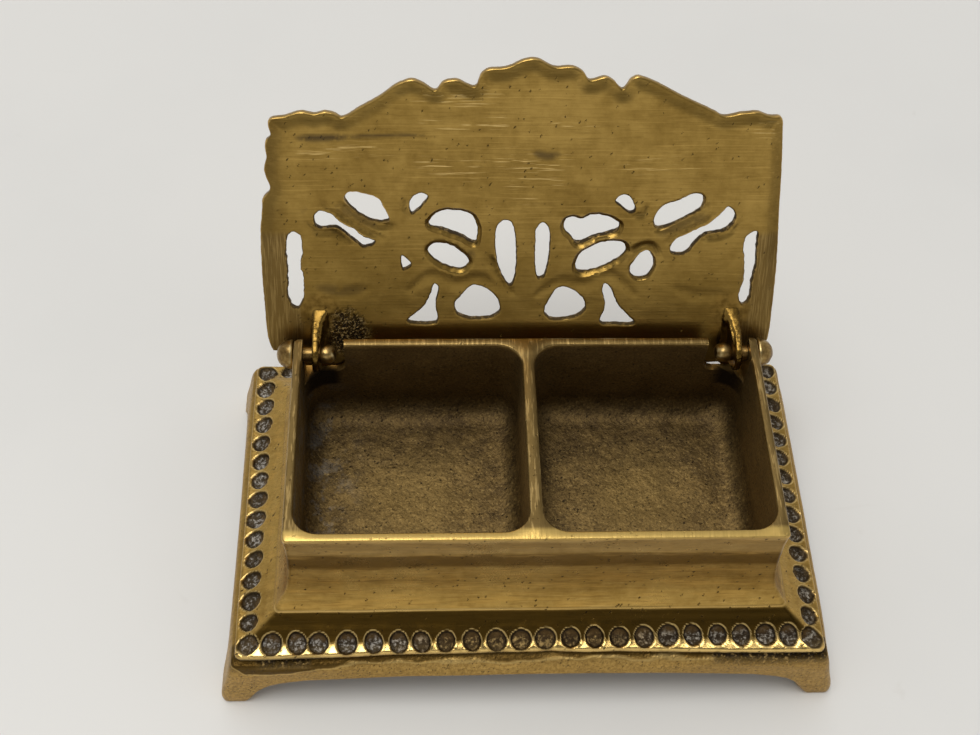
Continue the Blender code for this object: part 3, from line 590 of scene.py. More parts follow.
OPENING_SHARES = {
    "slot_left": [
        (-0.905, 0.50), (-0.88, 0.53), (-0.86, 0.515), (-0.85, 0.45), (-0.86, 0.38),
        (-0.85, 0.30), (-0.86, 0.21), (-0.885, 0.175), (-0.91, 0.21), (-0.91, 0.34),
    ],
    "leaf_left": [
        (-0.68, 0.675), (-0.665, 0.70), (-0.61, 0.695), (-0.56, 0.675), (-0.54, 0.64),
        (-0.52, 0.58), (-0.57, 0.575), (-0.63, 0.61),
    ],
    "dot_left": [
        (-0.435, 0.67), (-0.40, 0.70), (-0.37, 0.685), (-0.40, 0.635), (-0.43, 0.61),
    ],
    "stem_left": [
        (-0.80, 0.59), (-0.78, 0.62), (-0.74, 0.61), (-0.70, 0.57), (-0.65, 0.54), (-0.62, 0.51),
        (-0.57, 0.485), (-0.61, 0.46), (-0.65, 0.49), (-0.69, 0.53), (-0.72, 0.55),
        (-0.76, 0.545), (-0.79, 0.55),
    ],
    "petal_left_upper": [
        (-0.365, 0.56), (-0.33, 0.61), (-0.27, 0.62), (-0.21, 0.605), (-0.185, 0.565),
        (-0.18, 0.50), (-0.19, 0.475), (-0.24, 0.50), (-0.31, 0.53),
    ],
    "petal_left_lower": [
        (-0.37, 0.44), (-0.345, 0.47), (-0.29, 0.465), (-0.24, 0.43), (-0.21, 0.385),
        (-0.24, 0.355), (-0.30, 0.37), (-0.345, 0.40),
    ],
    "chip_left": [
        (-0.47, 0.42), (-0.435, 0.38), (-0.465, 0.355),
    ],
    "centre_left": [
        (-0.105, 0.55), (-0.08, 0.58), (-0.05, 0.57), (-0.032, 0.48), (-0.028, 0.38),
        (-0.035, 0.31), (-0.05, 0.28), (-0.085, 0.34), (-0.105, 0.42),
    ],
    "wedge_left": [
        (-0.45, 0.115), (-0.39, 0.18), (-0.36, 0.24), (-0.345, 0.29), (-0.33, 0.28),
        (-0.34, 0.19), (-0.335, 0.11), (-0.39, 0.10),
    ],
    "dome_left": [
        (-0.265, 0.19), (-0.24, 0.235), (-0.20, 0.28), (-0.165, 0.28), (-0.12, 0.25),
        (-0.09, 0.20), (-0.09, 0.155), (-0.12, 0.13), (-0.20, 0.125), (-0.25, 0.145),
    ],
    "centre_right": [
        (0.045, 0.50), (0.05, 0.55), (0.07, 0.57), (0.095, 0.54), (0.10, 0.46), (0.095, 0.38),
        (0.08, 0.32), (0.06, 0.315), (0.047, 0.39),
    ],
    "dome_right": [
        (0.09, 0.16), (0.11, 0.22), (0.14, 0.27), (0.18, 0.27), (0.24, 0.22), (0.25, 0.17),
        (0.22, 0.135), (0.17, 0.12), (0.11, 0.125),
    ],
    "wedge_right": [
        (0.315, 0.105), (0.33, 0.18), (0.315, 0.265), (0.325, 0.29), (0.345, 0.27), (0.38, 0.19),
        (0.45, 0.10), (0.38, 0.095),
    ],
    "petal_right_upper": [
        (0.155, 0.54), (0.16, 0.58), (0.19, 0.59), (0.215, 0.58), (0.26, 0.60), (0.31, 0.595),
        (0.365, 0.56), (0.36, 0.53), (0.28, 0.50), (0.205, 0.47), (0.185, 0.50),
    ],
    "petal_right_lower": [
        (0.205, 0.37), (0.22, 0.42), (0.27, 0.46), (0.33, 0.48), (0.39, 0.47), (0.395, 0.43),
        (0.34, 0.38), (0.28, 0.35), (0.22, 0.34),
    ],
    "round_right": [
        (0.42, 0.35), (0.445, 0.41), (0.475, 0.44), (0.50, 0.42), (0.51, 0.365), (0.485, 0.32),
        (0.44, 0.315),
    ],
    "dot_right": [
        (0.345, 0.665), (0.36, 0.69), (0.39, 0.69), (0.415, 0.655), (0.42, 0.62), (0.40, 0.615),
        (0.37, 0.64),
    ],
    "leaf_right": [
        (0.50, 0.57), (0.525, 0.635), (0.59, 0.665), (0.65, 0.695), (0.68, 0.68), (0.675, 0.63),
        (0.62, 0.59), (0.52, 0.54),
    ],
    "stem_right": [
        (0.57, 0.45), (0.585, 0.49), (0.625, 0.515), (0.67, 0.54), (0.71, 0.565), (0.745, 0.60),
        (0.78, 0.64), (0.81, 0.60), (0.785, 0.535), (0.74, 0.525), (0.70, 0.515), (0.665, 0.48),
        (0.63, 0.43), (0.58, 0.43),
    ],
    "slot_right": [
        (0.855, 0.47), (0.865, 0.51), (0.90, 0.53), (0.905, 0.45), (0.91, 0.38), (0.90, 0.29),
        (0.90, 0.21), (0.88, 0.185), (0.86, 0.23), (0.87, 0.31), (0.865, 0.40),
    ],
}

# %% [markdown]
# ## Hollows and ribs
#
# The back of a thin casting echoes its front: behind each raised leaf lies a shallow
# hollow. Each hollow is a stroke, with a half width and a depth in millimetres and a run
# of points, like a stroke of a gouge. The outer face, which the photograph doesn't show,
# gets a plain scroll and leaf pattern of the same strokes, with its ribs over the hollows.

# %% Strokes
HOLLOWS = [
    (1.1, 0.42, [(-0.70, 0.655), (-0.64, 0.605), (-0.57, 0.565), (-0.50, 0.555)]),
    (1.0, 0.36, [(-0.83, 0.57), (-0.79, 0.53), (-0.72, 0.525), (-0.66, 0.475)]),
    (0.9, 0.30, [(-0.76, 0.635), (-0.70, 0.60), (-0.62, 0.545), (-0.54, 0.50)]),
    (1.2, 0.46, [(0.50, 0.535), (0.57, 0.555), (0.64, 0.595), (0.70, 0.645)]),
    (1.0, 0.36, [(0.69, 0.50), (0.75, 0.51), (0.80, 0.535), (0.83, 0.575)]),
    (0.9, 0.28, [(0.55, 0.475), (0.60, 0.525), (0.68, 0.565), (0.73, 0.615)]),
    (1.7, 0.17, [(-0.44, 0.26), (-0.36, 0.325), (-0.25, 0.29), (-0.17, 0.31), (-0.06, 0.25)]),
    (1.7, 0.17, [(0.06, 0.24), (0.14, 0.295), (0.24, 0.285), (0.34, 0.325), (0.44, 0.24)]),
    (1.0, 0.40, [(0.405, 0.40), (0.44, 0.45), (0.49, 0.465), (0.53, 0.42)]),
    (0.8, 0.30, [(0.42, 0.60), (0.455, 0.605), (0.465, 0.645)]),
    (0.8, 0.24, [(-0.455, 0.67), (-0.46, 0.62), (-0.43, 0.59)]),
    (1.0, 0.30, [(-0.13, 0.42), (-0.09, 0.31), (-0.04, 0.245)]),
    (1.5, 0.09, [(-0.80, 0.26), (-0.72, 0.245), (-0.60, 0.27)]),
    (1.5, 0.09, [(0.60, 0.27), (0.70, 0.235), (0.80, 0.24)]),
]
RECESSED = {
    "petal_left_upper": 0.62, "petal_left_lower": 0.50, "petal_right_upper": 0.62,
    "petal_right_lower": 0.60, "leaf_right": 0.25, "leaf_left": 0.20, "round_right": 0.25,
}
RECESS_DEPTH = 0.00055

RIBS = [
    (1.7, 1.15, [(0.00, 0.66), (0.00, 0.86), (0.00, 1.12)]),
    (1.6, 1.05, [(0.04, 0.67), (0.11, 0.86), (0.14, 1.06)]),
    (1.5, 1.00, [(0.07, 0.67), (0.20, 0.82), (0.27, 0.99)]),
    (1.4, 0.90, [(0.10, 0.66), (0.26, 0.75), (0.37, 0.88)]),
    (1.3, 0.85, [(0.12, 0.65), (0.27, 0.67), (0.42, 0.76)]),
    (1.3, 0.95, [(0.44, 0.69), (0.56, 0.78), (0.68, 0.90), (0.80, 0.94), (0.87, 0.88),
                 (0.84, 0.81), (0.77, 0.80), (0.75, 0.85)]),
    (1.2, 0.80, [(0.55, 0.78), (0.52, 0.89), (0.58, 0.99), (0.67, 1.00)]),
    (1.2, 0.80, [(0.48, 0.75), (0.42, 0.90), (0.45, 1.03)]),
    (1.1, 0.70, [(0.68, 0.89), (0.72, 0.80), (0.76, 0.72), (0.85, 0.66)]),
    (1.2, 0.90, [(0.47, 0.54), (0.55, 0.525), (0.66, 0.58), (0.73, 0.66)]),
    (1.2, 0.90, [(0.42, 0.50), (0.30, 0.52), (0.18, 0.44), (0.13, 0.36)]),
    (1.2, 0.85, [(0.55, 0.40), (0.64, 0.40), (0.74, 0.47), (0.83, 0.57)]),
    (1.4, 0.90, [(0.05, 0.22), (0.12, 0.31), (0.26, 0.30), (0.30, 0.18), (0.29, 0.08)]),
    (1.3, 0.85, [(0.28, 0.10), (0.30, 0.26), (0.38, 0.31), (0.47, 0.22), (0.52, 0.10)]),
    (1.2, 0.80, [(0.56, 0.12), (0.60, 0.28), (0.70, 0.34), (0.79, 0.26), (0.76, 0.16),
                 (0.68, 0.17)]),
    (1.2, 0.85, [(0.00, 0.20), (0.00, 0.40), (0.00, 0.62)]),
]
BORDER_INSET = 0.0017
BORDER_HALF_WIDTH = 0.0016
BORDER_HEIGHT = 0.00085


def lid_point(across, out):
    return Vector((across * LID_WIDTH / 2 + LID_SHIFT, out * LID_REACH))


def stroke_tree(strokes, mirrored):
    """A search tree of points along strokes, each with its half width and its height."""
    samples = []
    for half_width, height, shares in strokes:
        for side in (1, -1) if mirrored else (1,):
            run = curve_through([lid_point(side * x, y) for x, y in shares], 0.0004)
            for i, point in enumerate(run):
                end = min(i, len(run) - 1 - i) / (len(run) - 1) * 2
                taper = 0.45 + 0.55 * smooth(end * 1.6)
                samples.append((point, half_width * taper * MM, height * taper * MM))
    return tree_of([point for point, _, _ in samples]), samples


def stroke_height(strokes, x, y):
    tree, samples = strokes
    best = 0.0
    for _, i, distance in tree.find_n((x, y, 0), 10):
        _, half_width, height = samples[i]
        if distance < half_width:
            best = max(best, height * (1 - (distance / half_width) ** 2) ** 1.5)
    return best


hollows = stroke_tree(HOLLOWS, mirrored=False)
ribs = stroke_tree(RIBS, mirrored=True)
print("the strokes have", len(hollows[1]), "and", len(ribs[1]), "sample points")

# %% [markdown]
# ## Outlines of the sheet
#
# The edge of the lid is scalloped, and its openings were sawn and filed, so their edges
# wander a little. Four more runs of points follow each edge closely: they carry the
# rounding of the edge, which catches the light.

# %% Loops
LOOP_STEP = 0.00033
EDGE_OFFSETS = (0.00007, 0.00020, 0.00040, 0.00070)
SAW_WANDER = {"slot_left": 0.00022, "slot_right": 0.00016, "stem_left": 0.00013}
OPENING_WANDER = 0.00012
DEFAULT_WANDER = 0.00006
UNDER_ROUND = 0.00022
OUTER_ROUND = 0.00070
LID_GRAIN = 0.00046


def straight_run(points, step):
    run = []
    for start, end in zip(points, points[1:]):
        steps = max(1, round((end - start).length / step))
        run += [start.lerp(end, k / steps) for k in range(steps)]
    return run + [points[-1]]


def wandered(loop, amount):
    """The loop with each point moved a little, as a saw moves."""
    return [
        p + noise.noise_vector(Vector((p.x, p.y, 0)) / 0.0007).xy * amount for p in loop
    ]


def lid_loops():
    edge = curve_through([lid_point(*shares) for shares in OUTLINE_SHARES], LOOP_STEP)
    edge = wandered(edge, DEFAULT_WANDER)
    half = INNER_HALF_WIDTH
    lip = straight_run([edge[-1]] + [Vector(pair) for pair in (
        (half + 0.0013, -LID_TAIL), (half, -LIP_TAB_REACH), (half - 0.0034, -LIP_TAB_REACH),
        (half - 0.0040, -LIP_TAB_REACH * 0.87), (half - 0.0056, -LIP_TAB_REACH * 0.90),
        (half - 0.0066, -LIP_TAB_REACH * 0.95), (half - 0.0074, -LIP_REACH),
        (-half + 0.0074, -LIP_REACH), (-half + 0.0070, -LIP_TAB_REACH), (-half, -LIP_TAB_REACH),
        (-half - 0.0013, -LID_TAIL),
    )] + [edge[0]], LOOP_STEP * 1.5)[1:-1]
    openings = {}
    for name, shares in OPENING_SHARES.items():
        loop = curve_through([lid_point(*pair) for pair in shares], LOOP_STEP, closed=True)
        openings[name] = wandered(loop, SAW_WANDER.get(name, OPENING_WANDER))
    return edge, lip, openings


def densified(loop):
    return [a.lerp(b, k / 3) for a, b in zip(loop, loop[1:] + loop[:1]) for k in range(3)]


def sheet_points(loops):
    """The loops' points, then points beside them, then a honeycomb of points between."""
    tree = tree_of([p for loop in loops for p in densified(loop)])
    points, edges = [], []
    for loop in loops:
        first = len(points)
        points += loop
        edges += [(first + i, first + (i + 1) % len(loop)) for i in range(len(loop))]
    for number, loop in enumerate(loops):
        turned = sum(a.x * b.y - b.x * a.y for a, b in zip(loop, loop[1:] + loop[:1]))
        inward = math.copysign(1, turned) * (1 if number == 0 else -1)
        for i, point in enumerate(loop):
            along = (loop[(i + 1) % len(loop)] - loop[i - 1]).normalized()
            normal = Vector((-along.y, along.x)) * inward
            for offset in EDGE_OFFSETS:
                beside = point + normal * offset
                if tree.find((beside.x, beside.y, 0))[2] > offset * 0.93:
                    points.append(beside)
    rows = int(0.056 / (LID_GRAIN * 0.866))
    for row in range(rows):
        y = -LIP_TAB_REACH + (row + 0.37) * LID_GRAIN * 0.866
        crossings = sorted(
            a.x + (y - a.y) * (b.x - a.x) / (b.y - a.y)
            for loop in loops for a, b in zip(loop, loop[1:] + loop[:1])
            if (a.y > y) != (b.y > y)
        )
        for start, end in zip(crossings[::2], crossings[1::2]):
            k = math.ceil(start / LID_GRAIN - row % 2 / 2)
            while (k + row % 2 / 2) * LID_GRAIN < end:
                x = (k + row % 2 / 2) * LID_GRAIN
                if tree.find((x, y, 0))[2] > EDGE_OFFSETS[-1] + LID_GRAIN * 0.45:
                    points.append(Vector((x, y)))
                k += 1
    return points, edges


# %% [markdown]
# ## From the flat drawing to the lid
#
# Each point of the sheet gets its two heights: curled edge, hollows and rounded corners
# below, border and ribs above. The sheet is then swung up about the hinge to where it
# stands open, and faces along the outlines close it.

# %% Heights of the two faces
CURL_WIDTH = 0.0024


def corner_drop(distance, radius):
    """How far a rounded edge lies below the face, at a distance from the edge."""
    if distance >= radius:
        return 0.0
    return radius * (1 - math.sqrt(1 - (1 - distance / radius) ** 2))


def lid_heights(point, to_rim, to_edge, to_recess):
    """Heights of the underside and of the outer face, away from the hinge axis."""
    x, y = point
    free = smooth((y - 0.002) / 0.006)
    curl = LID_CURL * (1 - smooth(to_edge / CURL_WIDTH)) * free
    wave = noise.noise(Vector((x, y, 0.3)) / 0.009) * 0.00012
    wave += noise.noise(Vector((x, y, 0.7)) / 0.0021) * 0.000022
    under = LID_UNDERSIDE + curl + wave * free + corner_drop(to_rim, UNDER_ROUND)
    under += max(stroke_height(hollows, x, y) * 0.9, RECESS_DEPTH * (1 - smooth(to_recess)))
    under += LIP_LIFT * smooth((-y - 0.0035) / 0.0005)
    outer = LID_UNDERSIDE + LID_THICKNESS + curl + wave * free
    border = BORDER_HEIGHT * max(0, 1 - ((to_edge - BORDER_INSET) / BORDER_HALF_WIDTH) ** 2)
    outer += max(stroke_height(ribs, x, y), border * smooth((y + 0.001) / 0.004))
    outer -= corner_drop(to_rim, OUTER_ROUND) * (0.6 if y < 0.003 else 1)
    return under, outer


def lid_place(x, along, height):
    """A point of the lid at rest, from its place on the flat drawing."""
    return HINGE + Vector((x, -along * COSINE + height * SINE, along * SINE + height * COSINE))


def lid_frame(point):
    """A point of the lid at rest as (across, along, away), the inverse of lid_place."""
    y, z = point.y - HINGE.y, point.z - HINGE.z
    return Vector((point.x, -y * COSINE + z * SINE, y * SINE + z * COSINE))


def lid_skin():
    edge, lip, openings = lid_loops()
    loops = [edge + lip, *openings.values()]
    points, edges = sheet_points(loops)
    verts, _, faces, sources, _, _ = delaunay_2d_cdt(points, edges, [], 1, 1e-8)
    rim_tree = tree_of([p for loop in loops for p in densified(loop)])
    edge_tree = tree_of(densified(edge))
    owner = {}
    first = 0
    for number, loop in enumerate(loops):
        for i in range(first, first + len(loop)):
            owner[i] = number
        first += len(loop)
    recess = [(tree_of(densified(openings[n])), w * MM) for n, w in RECESSED.items()]
    bm = bmesh.new()
    under, outer, kind = [], [], []
    for place, source in zip(verts, sources):
        spot = (place.x, place.y, 0)
        rim_owner = next((owner[i] for i in source if i in owner), None)
        to_rim = 0 if rim_owner is not None else rim_tree.find(spot)[2]
        to_recess = min(tree.find(spot)[2] / width for tree, width in recess)
        low, high = lid_heights(place, to_rim, edge_tree.find(spot)[2], to_recess * 1.9 - 0.9)
        under.append(bm.verts.new(lid_place(place.x, place.y, low)))
        outer.append(bm.verts.new(lid_place(place.x, place.y, high)))
        kind.append(rim_owner)
    for face in faces:
        owners = {kind[i] for i in face}
        if len(owners) == 1 and None not in owners and owners != {0}:
            middle = sum((verts[i] for i in face), Vector((0, 0))) / len(face)
            if inside(middle, loops[owners.pop()]):
                continue
        bm.faces.new([under[i] for i in face])
        bm.faces.new([outer[i] for i in reversed(face)])
    twin = {u: o for u, o in zip(under, outer)}
    for border in [e for e in bm.edges if e.is_boundary and e.verts[0] in twin]:
        a, b = border.verts
        bm.faces.new((a, b, twin[b], twin[a]))
    bmesh.ops.delete(bm, geom=[v for v in bm.verts if not v.link_faces], context="VERTS")
    return new_piece("lid_casting", bm)


lid = lid_skin()

# %% [markdown]
# ## Lugs
#
# Two horns under the lid's back edge carry it. Each is flat on its outer side and spreads
# towards its root on the inner side. It is lofted between those two faces in thin slices,
# softened, and joined to the sheet by a Boolean. Then its eye is bored, and the crease at
# its root is eased into a fillet.

# %% Lugs
PIN_RADIUS = 0.0013
PIN_CLEARANCE = 0.0001
LUG_EYE = 0.0031
LUG_THICKNESS = 0.0012
LUG_FLARE = 0.0015
LUG_OUTER = INNER_HALF_WIDTH - 0.0013
LUG_INNER = LUG_OUTER - LUG_THICKNESS
LUG_STEPS = 40
LUG_RIPPLE = 0.00009
LUG_CENTRE = 0.0352
BAR_SIDES = 40
LUG_BORE_FROM = 0.0330
LUG_BORE_TO = 0.0375
WALL_BORE_TO = 0.0440
WALL_BORE_PLAY = 0.00003
EASING_ROUNDS = 7


def tangent(point, radius, side):
    """Where the line from the point touches the circle round the hinge axis."""
    return math.atan2(point.y, point.x) + side * math.acos(radius / point.length)


def lug_outline(shrink):
    """The lug from the side, as (along the lid, away from the axis), drawn in by shrink."""
    eye = LUG_EYE - shrink
    root_front = Vector((LUG_ROOT - shrink, LID_UNDERSIDE))
    root_back = Vector((-LID_TAIL + shrink, LID_UNDERSIDE))
    top = LID_UNDERSIDE + LID_THICKNESS / 2
    start, end = tangent(root_front, eye, -1), tangent(root_back, eye, 1) - 2 * math.pi
    touch = Vector((math.cos(start), math.sin(start))) * eye
    root = Vector((LUG_ROOT + 0.0010 - shrink, LID_UNDERSIDE + 0.0002))
    bend = root_front.lerp(touch, 0.35)
    front = [Vector((root.x, top))]
    for k in range(15):
        t = k / 15
        front.append(root * (1 - t) ** 2 + bend * 2 * t * (1 - t) + touch * t * t)
    front.append(touch)
    arc = [start + (end - start) * k / LUG_STEPS for k in range(1, LUG_STEPS + 1)]
    outline = front + [Vector((math.cos(t), math.sin(t))) * eye for t in arc]
    return outline + [root_back, Vector((-LID_TAIL + shrink, top))]


BOSSES = {
    -1: [((0.0359, 0.0045, 0.0025), (0.0007, 0.0009, 0.0006))],
    1: [((0.0352, 0.0050, 0.0028), (0.0012, 0.0012, 0.0008))],
}
LUG_VOXEL = 0.00013
LUG_NUDGE = {-1: -0.0003, 1: 0.0}


def lug_solid(name, side):
    """Slices from the outer face to the inner one, with a boss at the root, then softened."""
    bm = bmesh.new()
    slices = []
    for share, shrink in (
        (0.0, 0.00040), (0.04, 0.00016), (0.13, 0.00003), (0.25, 0.0), (0.38, 0.0), (0.5, 0.0),
        (0.62, 0.0), (0.75, 0.0), (0.87, 0.00003), (0.96, 0.00016), (1.0, 0.00040),
    ):
        ring = []
        for p in lug_outline(shrink):
            rise = min(max(p.y / LID_UNDERSIDE, -0.2), 1)
            inner = LUG_INNER - LUG_FLARE * max(rise, 0) ** 2 - LUG_FLARE * 0.1 * rise
            x = side * (LUG_OUTER + LUG_NUDGE[side] + (inner - LUG_OUTER) * share)
            ring.append(bm.verts.new(lid_place(x, p.x, p.y)))
        slices.append(ring)
    for a, b in zip(slices, slices[1:]):
        bridge(bm, a, b)
    bm.faces.new(slices[0])
    bm.faces.new(slices[-1])
    for centre, radii in BOSSES[side]:
        ball = bmesh.ops.create_icosphere(bm, subdivisions=3, radius=1)["verts"]
        for vert in ball:
            x, along, height = (c + r * p for c, r, p in zip(centre, radii, vert.co))
            vert.co = lid_place(side * x, along, height)
    piece = new_piece(name, bm)
    remesh = piece.modifiers.new("soften", "REMESH")
    remesh.mode, remesh.voxel_size = "VOXEL", LUG_VOXEL
    ease = piece.modifiers.new("ease", "SMOOTH")
    ease.factor, ease.iterations = 0.5, 9
    settle(piece)
    for vert in piece.data.vertices:
        p = lid_frame(vert.co)
        away = math.hypot(p.y, p.z)
        ripple = noise.noise(Vector((p.x / 0.0016, p.y / 0.00045, p.z / 0.00045)))
        rough = noise.noise(Vector(vert.co) / 0.0005)
        amount = LUG_RIPPLE * smooth((away - 0.0026) / 0.0008)
        vert.co += vert.normal * (ripple + rough * 0.5) * amount
    return piece


def bar(name, radius, start, end):
    """A plain round bar along X through the hinge axis, used to bore holes."""
    bm = bmesh.new()
    bmesh.ops.create_cone(
        bm, cap_ends=True, segments=BAR_SIDES, radius1=radius, radius2=radius,
        depth=abs(end - start),
        matrix=Matrix.Translation(HINGE + Vector(((start + end) / 2, 0, 0)))
        @ Matrix.Rotation(math.pi / 2, 4, "Y"),
    )
    return new_piece(name, bm)


def apply_booleans(piece, tools):
    """Runs the Booleans in order and leaves a plain mesh; the tools are removed."""
    for tool, operation in tools:
        modifier = piece.modifiers.new(tool.name, "BOOLEAN")
        modifier.operation = operation
        modifier.solver = "EXACT"
        modifier.object = tool
    settle(piece)
    for tool, _ in tools:
        bpy.data.objects.remove(tool, do_unlink=True)
    piece.data.shade_smooth()
    piece.data.set_sharp_from_angle(angle=SHARP_PLAIN)
    print(piece.name, "now has", len(piece.data.polygons), "faces")


lid_tools = []
for side, word in SIDES:
    lid_tools.append((lug_solid(f"lug_{word}", side), "UNION"))
    lid_tools.append((
        bar(
            f"lug_bore_{word}", PIN_RADIUS + PIN_CLEARANCE, side * LUG_BORE_FROM,
            side * LUG_BORE_TO,
        ),
        "DIFFERENCE",
    ))
apply_booleans(lid, lid_tools)


def fillet_roots(mesh):
    """Eases the creases where the lugs run into the sheet, as a casting's fillets do."""
    share = {}
    for vert in mesh.vertices:
        p = lid_frame(vert.co)
        away = math.hypot(abs(p.x) - LUG_CENTRE, p.y - 0.0062)
        near = smooth((0.0046 - away) / 0.0020)
        level = smooth((p.z - LID_UNDERSIDE + 0.0019) / 0.0009)
        level *= smooth((LID_UNDERSIDE + 0.0008 - p.z) / 0.0004)
        clear = smooth((math.hypot(p.y, p.z) - PIN_RADIUS - 0.0008) / 0.0006)
        if near * level * clear > 0.01:
            share[vert.index] = near * level * clear * 0.6
    around = {i: [] for i in share}
    for edge in mesh.edges:
        a, b = edge.vertices
        if a in around:
            around[a].append(b)
        if b in around:
            around[b].append(a)
    for _ in range(EASING_ROUNDS):
        moved = {}
        for i, amount in share.items():
            middle = sum((mesh.vertices[j].co for j in around[i]), Vector()) / len(around[i])
            moved[i] = mesh.vertices[i].co.lerp(middle, amount)
        for i, place in moved.items():
            mesh.vertices[i].co = place
    print("eased", len(share), "points at the lugs' roots")


fillet_roots(lid.data)

# %% [markdown]
# ## Seats for the lugs
#
# In the real box a saw and a round file cut a notch behind each lug, and a drill made the
# hole for its rivet. The same cuts are made here, after the casting is whole.

# %% Notches and bores of the box
NOTCH_LENGTH = 0.0070
NOTCH_DEPTH = 0.0076
NOTCH_ROUND = 0.0020
NOTCH_STEPS = 8
TOOL_OVERRUN = 0.004


def notch_tool(name, side):
    """The tool that cuts the seat for a lug in the back wall."""
    sill = RIM_HEIGHT - NOTCH_DEPTH
    inner = INNER_HALF_WIDTH - NOTCH_LENGTH
    outline = [(INNER_HALF_WIDTH, sill), (INNER_HALF_WIDTH, RIM_HEIGHT + TOOL_OVERRUN)]
    outline.append((inner, RIM_HEIGHT + TOOL_OVERRUN))
    for k in range(NOTCH_STEPS + 1):
        angle = math.pi / 2 * k / NOTCH_STEPS
        x = inner + NOTCH_ROUND * (1 - math.cos(angle))
        outline.append((x, sill + NOTCH_ROUND * (1 - math.sin(angle))))
    bm = bmesh.new()
    front = INNER_HALF_DEPTH - POCKET_CORNER * 0.75 + SHIFT_Y
    rings = [
        [bm.verts.new((side * x, y, z)) for x, z in outline]
        for y in (front, BOX_DEPTH / 2 + TOOL_OVERRUN + SHIFT_Y)
    ]
    bridge(bm, *rings)
    for ring in rings:
        bm.faces.new(ring)
    return new_piece(name, bm)


box_tools = []
for side, word in SIDES:
    box_tools.append((notch_tool(f"notch_{word}", side), "DIFFERENCE"))
    box_tools.append((
        bar(
            f"wall_bore_{word}", PIN_RADIUS + WALL_BORE_PLAY, side * LUG_BORE_TO,
            side * WALL_BORE_TO,
        ),
        "DIFFERENCE",
    ))
apply_booleans(box, box_tools)

# %% [markdown]
# ## Rivets
#
# Each rivet is turned as a profile about the hinge axis: a domed head outside the wall, a
# shank, and a dressed end inside. A little noise gives it the flats of a hammer.

# %% Rivets
HEAD_RADIUS = 0.0025
HEAD_HEIGHT = 0.0027
HEAD_FACE = BOX_WIDTH / 2 + 0.0004
PIN_END = LUG_INNER - 0.0030
PIN_END_LENGTH = 0.0026
PIN_SWELL = 0.00034
RIVET_SIDES = 56
HAMMER_DEPTH = 0.00007


def rivet(name, side):
    """A turned profile, with the slight flats that a hammer leaves on the dome."""
    profile = []
    for k in range(1, 17):
        angle = math.pi / 2 * k / 16
        profile.append((HEAD_RADIUS * math.sin(angle), HEAD_HEIGHT * math.cos(angle) ** 0.92))
    profile += [(HEAD_RADIUS * 0.93, -0.0002), (PIN_RADIUS, -0.00025)]
    length = HEAD_FACE - PIN_END
    neck = length - PIN_END_LENGTH
    profile += [(PIN_RADIUS, -neck * k / 6) for k in range(1, 7)]
    for k in range(1, 14):
        angle = math.pi / 2 * (k / 14 * 1.55 - 0.55)
        profile.append((
            PIN_RADIUS - 0.0006 + (0.0006 + PIN_SWELL) * math.cos(angle),
            -neck - PIN_END_LENGTH * (0.42 + 0.58 * math.sin(angle)),
        ))
    bm = bmesh.new()
    rings = []
    for radius, out in profile:
        ring = []
        for k in range(RIVET_SIDES):
            turn = 2 * math.pi * k / RIVET_SIDES
            place = Vector((out, radius * math.cos(turn), radius * math.sin(turn)))
            flat = noise.noise(place / 0.0011 + Vector((side, 0, 0))) * HAMMER_DEPTH
            spread = 1 + flat / HEAD_RADIUS
            ring.append(bm.verts.new(HINGE + Vector((
                side * (HEAD_FACE + place.x * spread), place.y * spread, place.z * spread,
            ))))
        rings.append(ring)
    for a, b in zip(rings, rings[1:]):
        bridge(bm, a, b)
    for ring, out in ((rings[0], HEAD_HEIGHT), (rings[-1], -length)):
        tip = bm.verts.new(HINGE + Vector((side * (HEAD_FACE + out), 0, 0)))
        for a, b in zip(ring, ring[1:] + ring[:1]):
            bm.faces.new((a, b, tip))
    return new_piece(name, bm)


rivets = {side: rivet(f"rivet_{word}", side) for side, word in SIDES}

# %% [markdown]
# ## Studio
#
# Brass shows what it reflects, so the places of light and dark round it matter more than
# the strength of the lamps. The sky is bright overhead and behind, even at the horizon, and
# dark in front above, where the photographer stood. A wide lamp overhead adds soft highlights,
# and a weak one low in front lifts the fascia.

# %% Studio
FLOOR_RADIUS = 4.0
TABLE_COLOUR = (0.745, 0.735, 0.71)


def floor():
    bm = bmesh.new()
    bmesh.ops.create_circle(bm, cap_ends=True, segments=96, radius=FLOOR_RADIUS)
    return new_piece("table", bm)


table = floor()


def lamp(name, place, aim, width, depth, power, colour):
    data = bpy.data.lights.new(name, "AREA")
    data.shape = "RECTANGLE"
    data.size, data.size_y = width, depth
    data.energy = power
    data.color = colour
    obj = bpy.data.objects.new(name, data)
    obj.location = place
    obj.rotation_euler = (Vector(aim) - Vector(place)).to_track_quat("-Z", "Y").to_euler()
    bpy.context.scene.collection.objects.link(obj)


lamp("overhead", (-0.25, -0.12, 1.7), (0, 0, 0.02), 1.1, 0.8, 15.0, (1, 0.985, 0.95))
lamp("front_fill", (0.02, -0.34, 0.18), (0, -0.05, 0), 0.5, 0.3, 0.17, (1, 0.99, 0.96))

# %% [markdown]
# ## The punched pits
#
# A row of oval pits runs along the ledge. On the real box a pattern pressed them into the
# moulding sand one by one, so each is a little turned and squeezed, and metal stands up
# round it in a burr. They repeat, so Geometry Nodes make them: a cloud of guide points
# holds where each pit lies and which way it faces, and one tree pushes the skin in there.
# Pushing the skin, rather than cutting it, leaves the soft lips that a casting has.

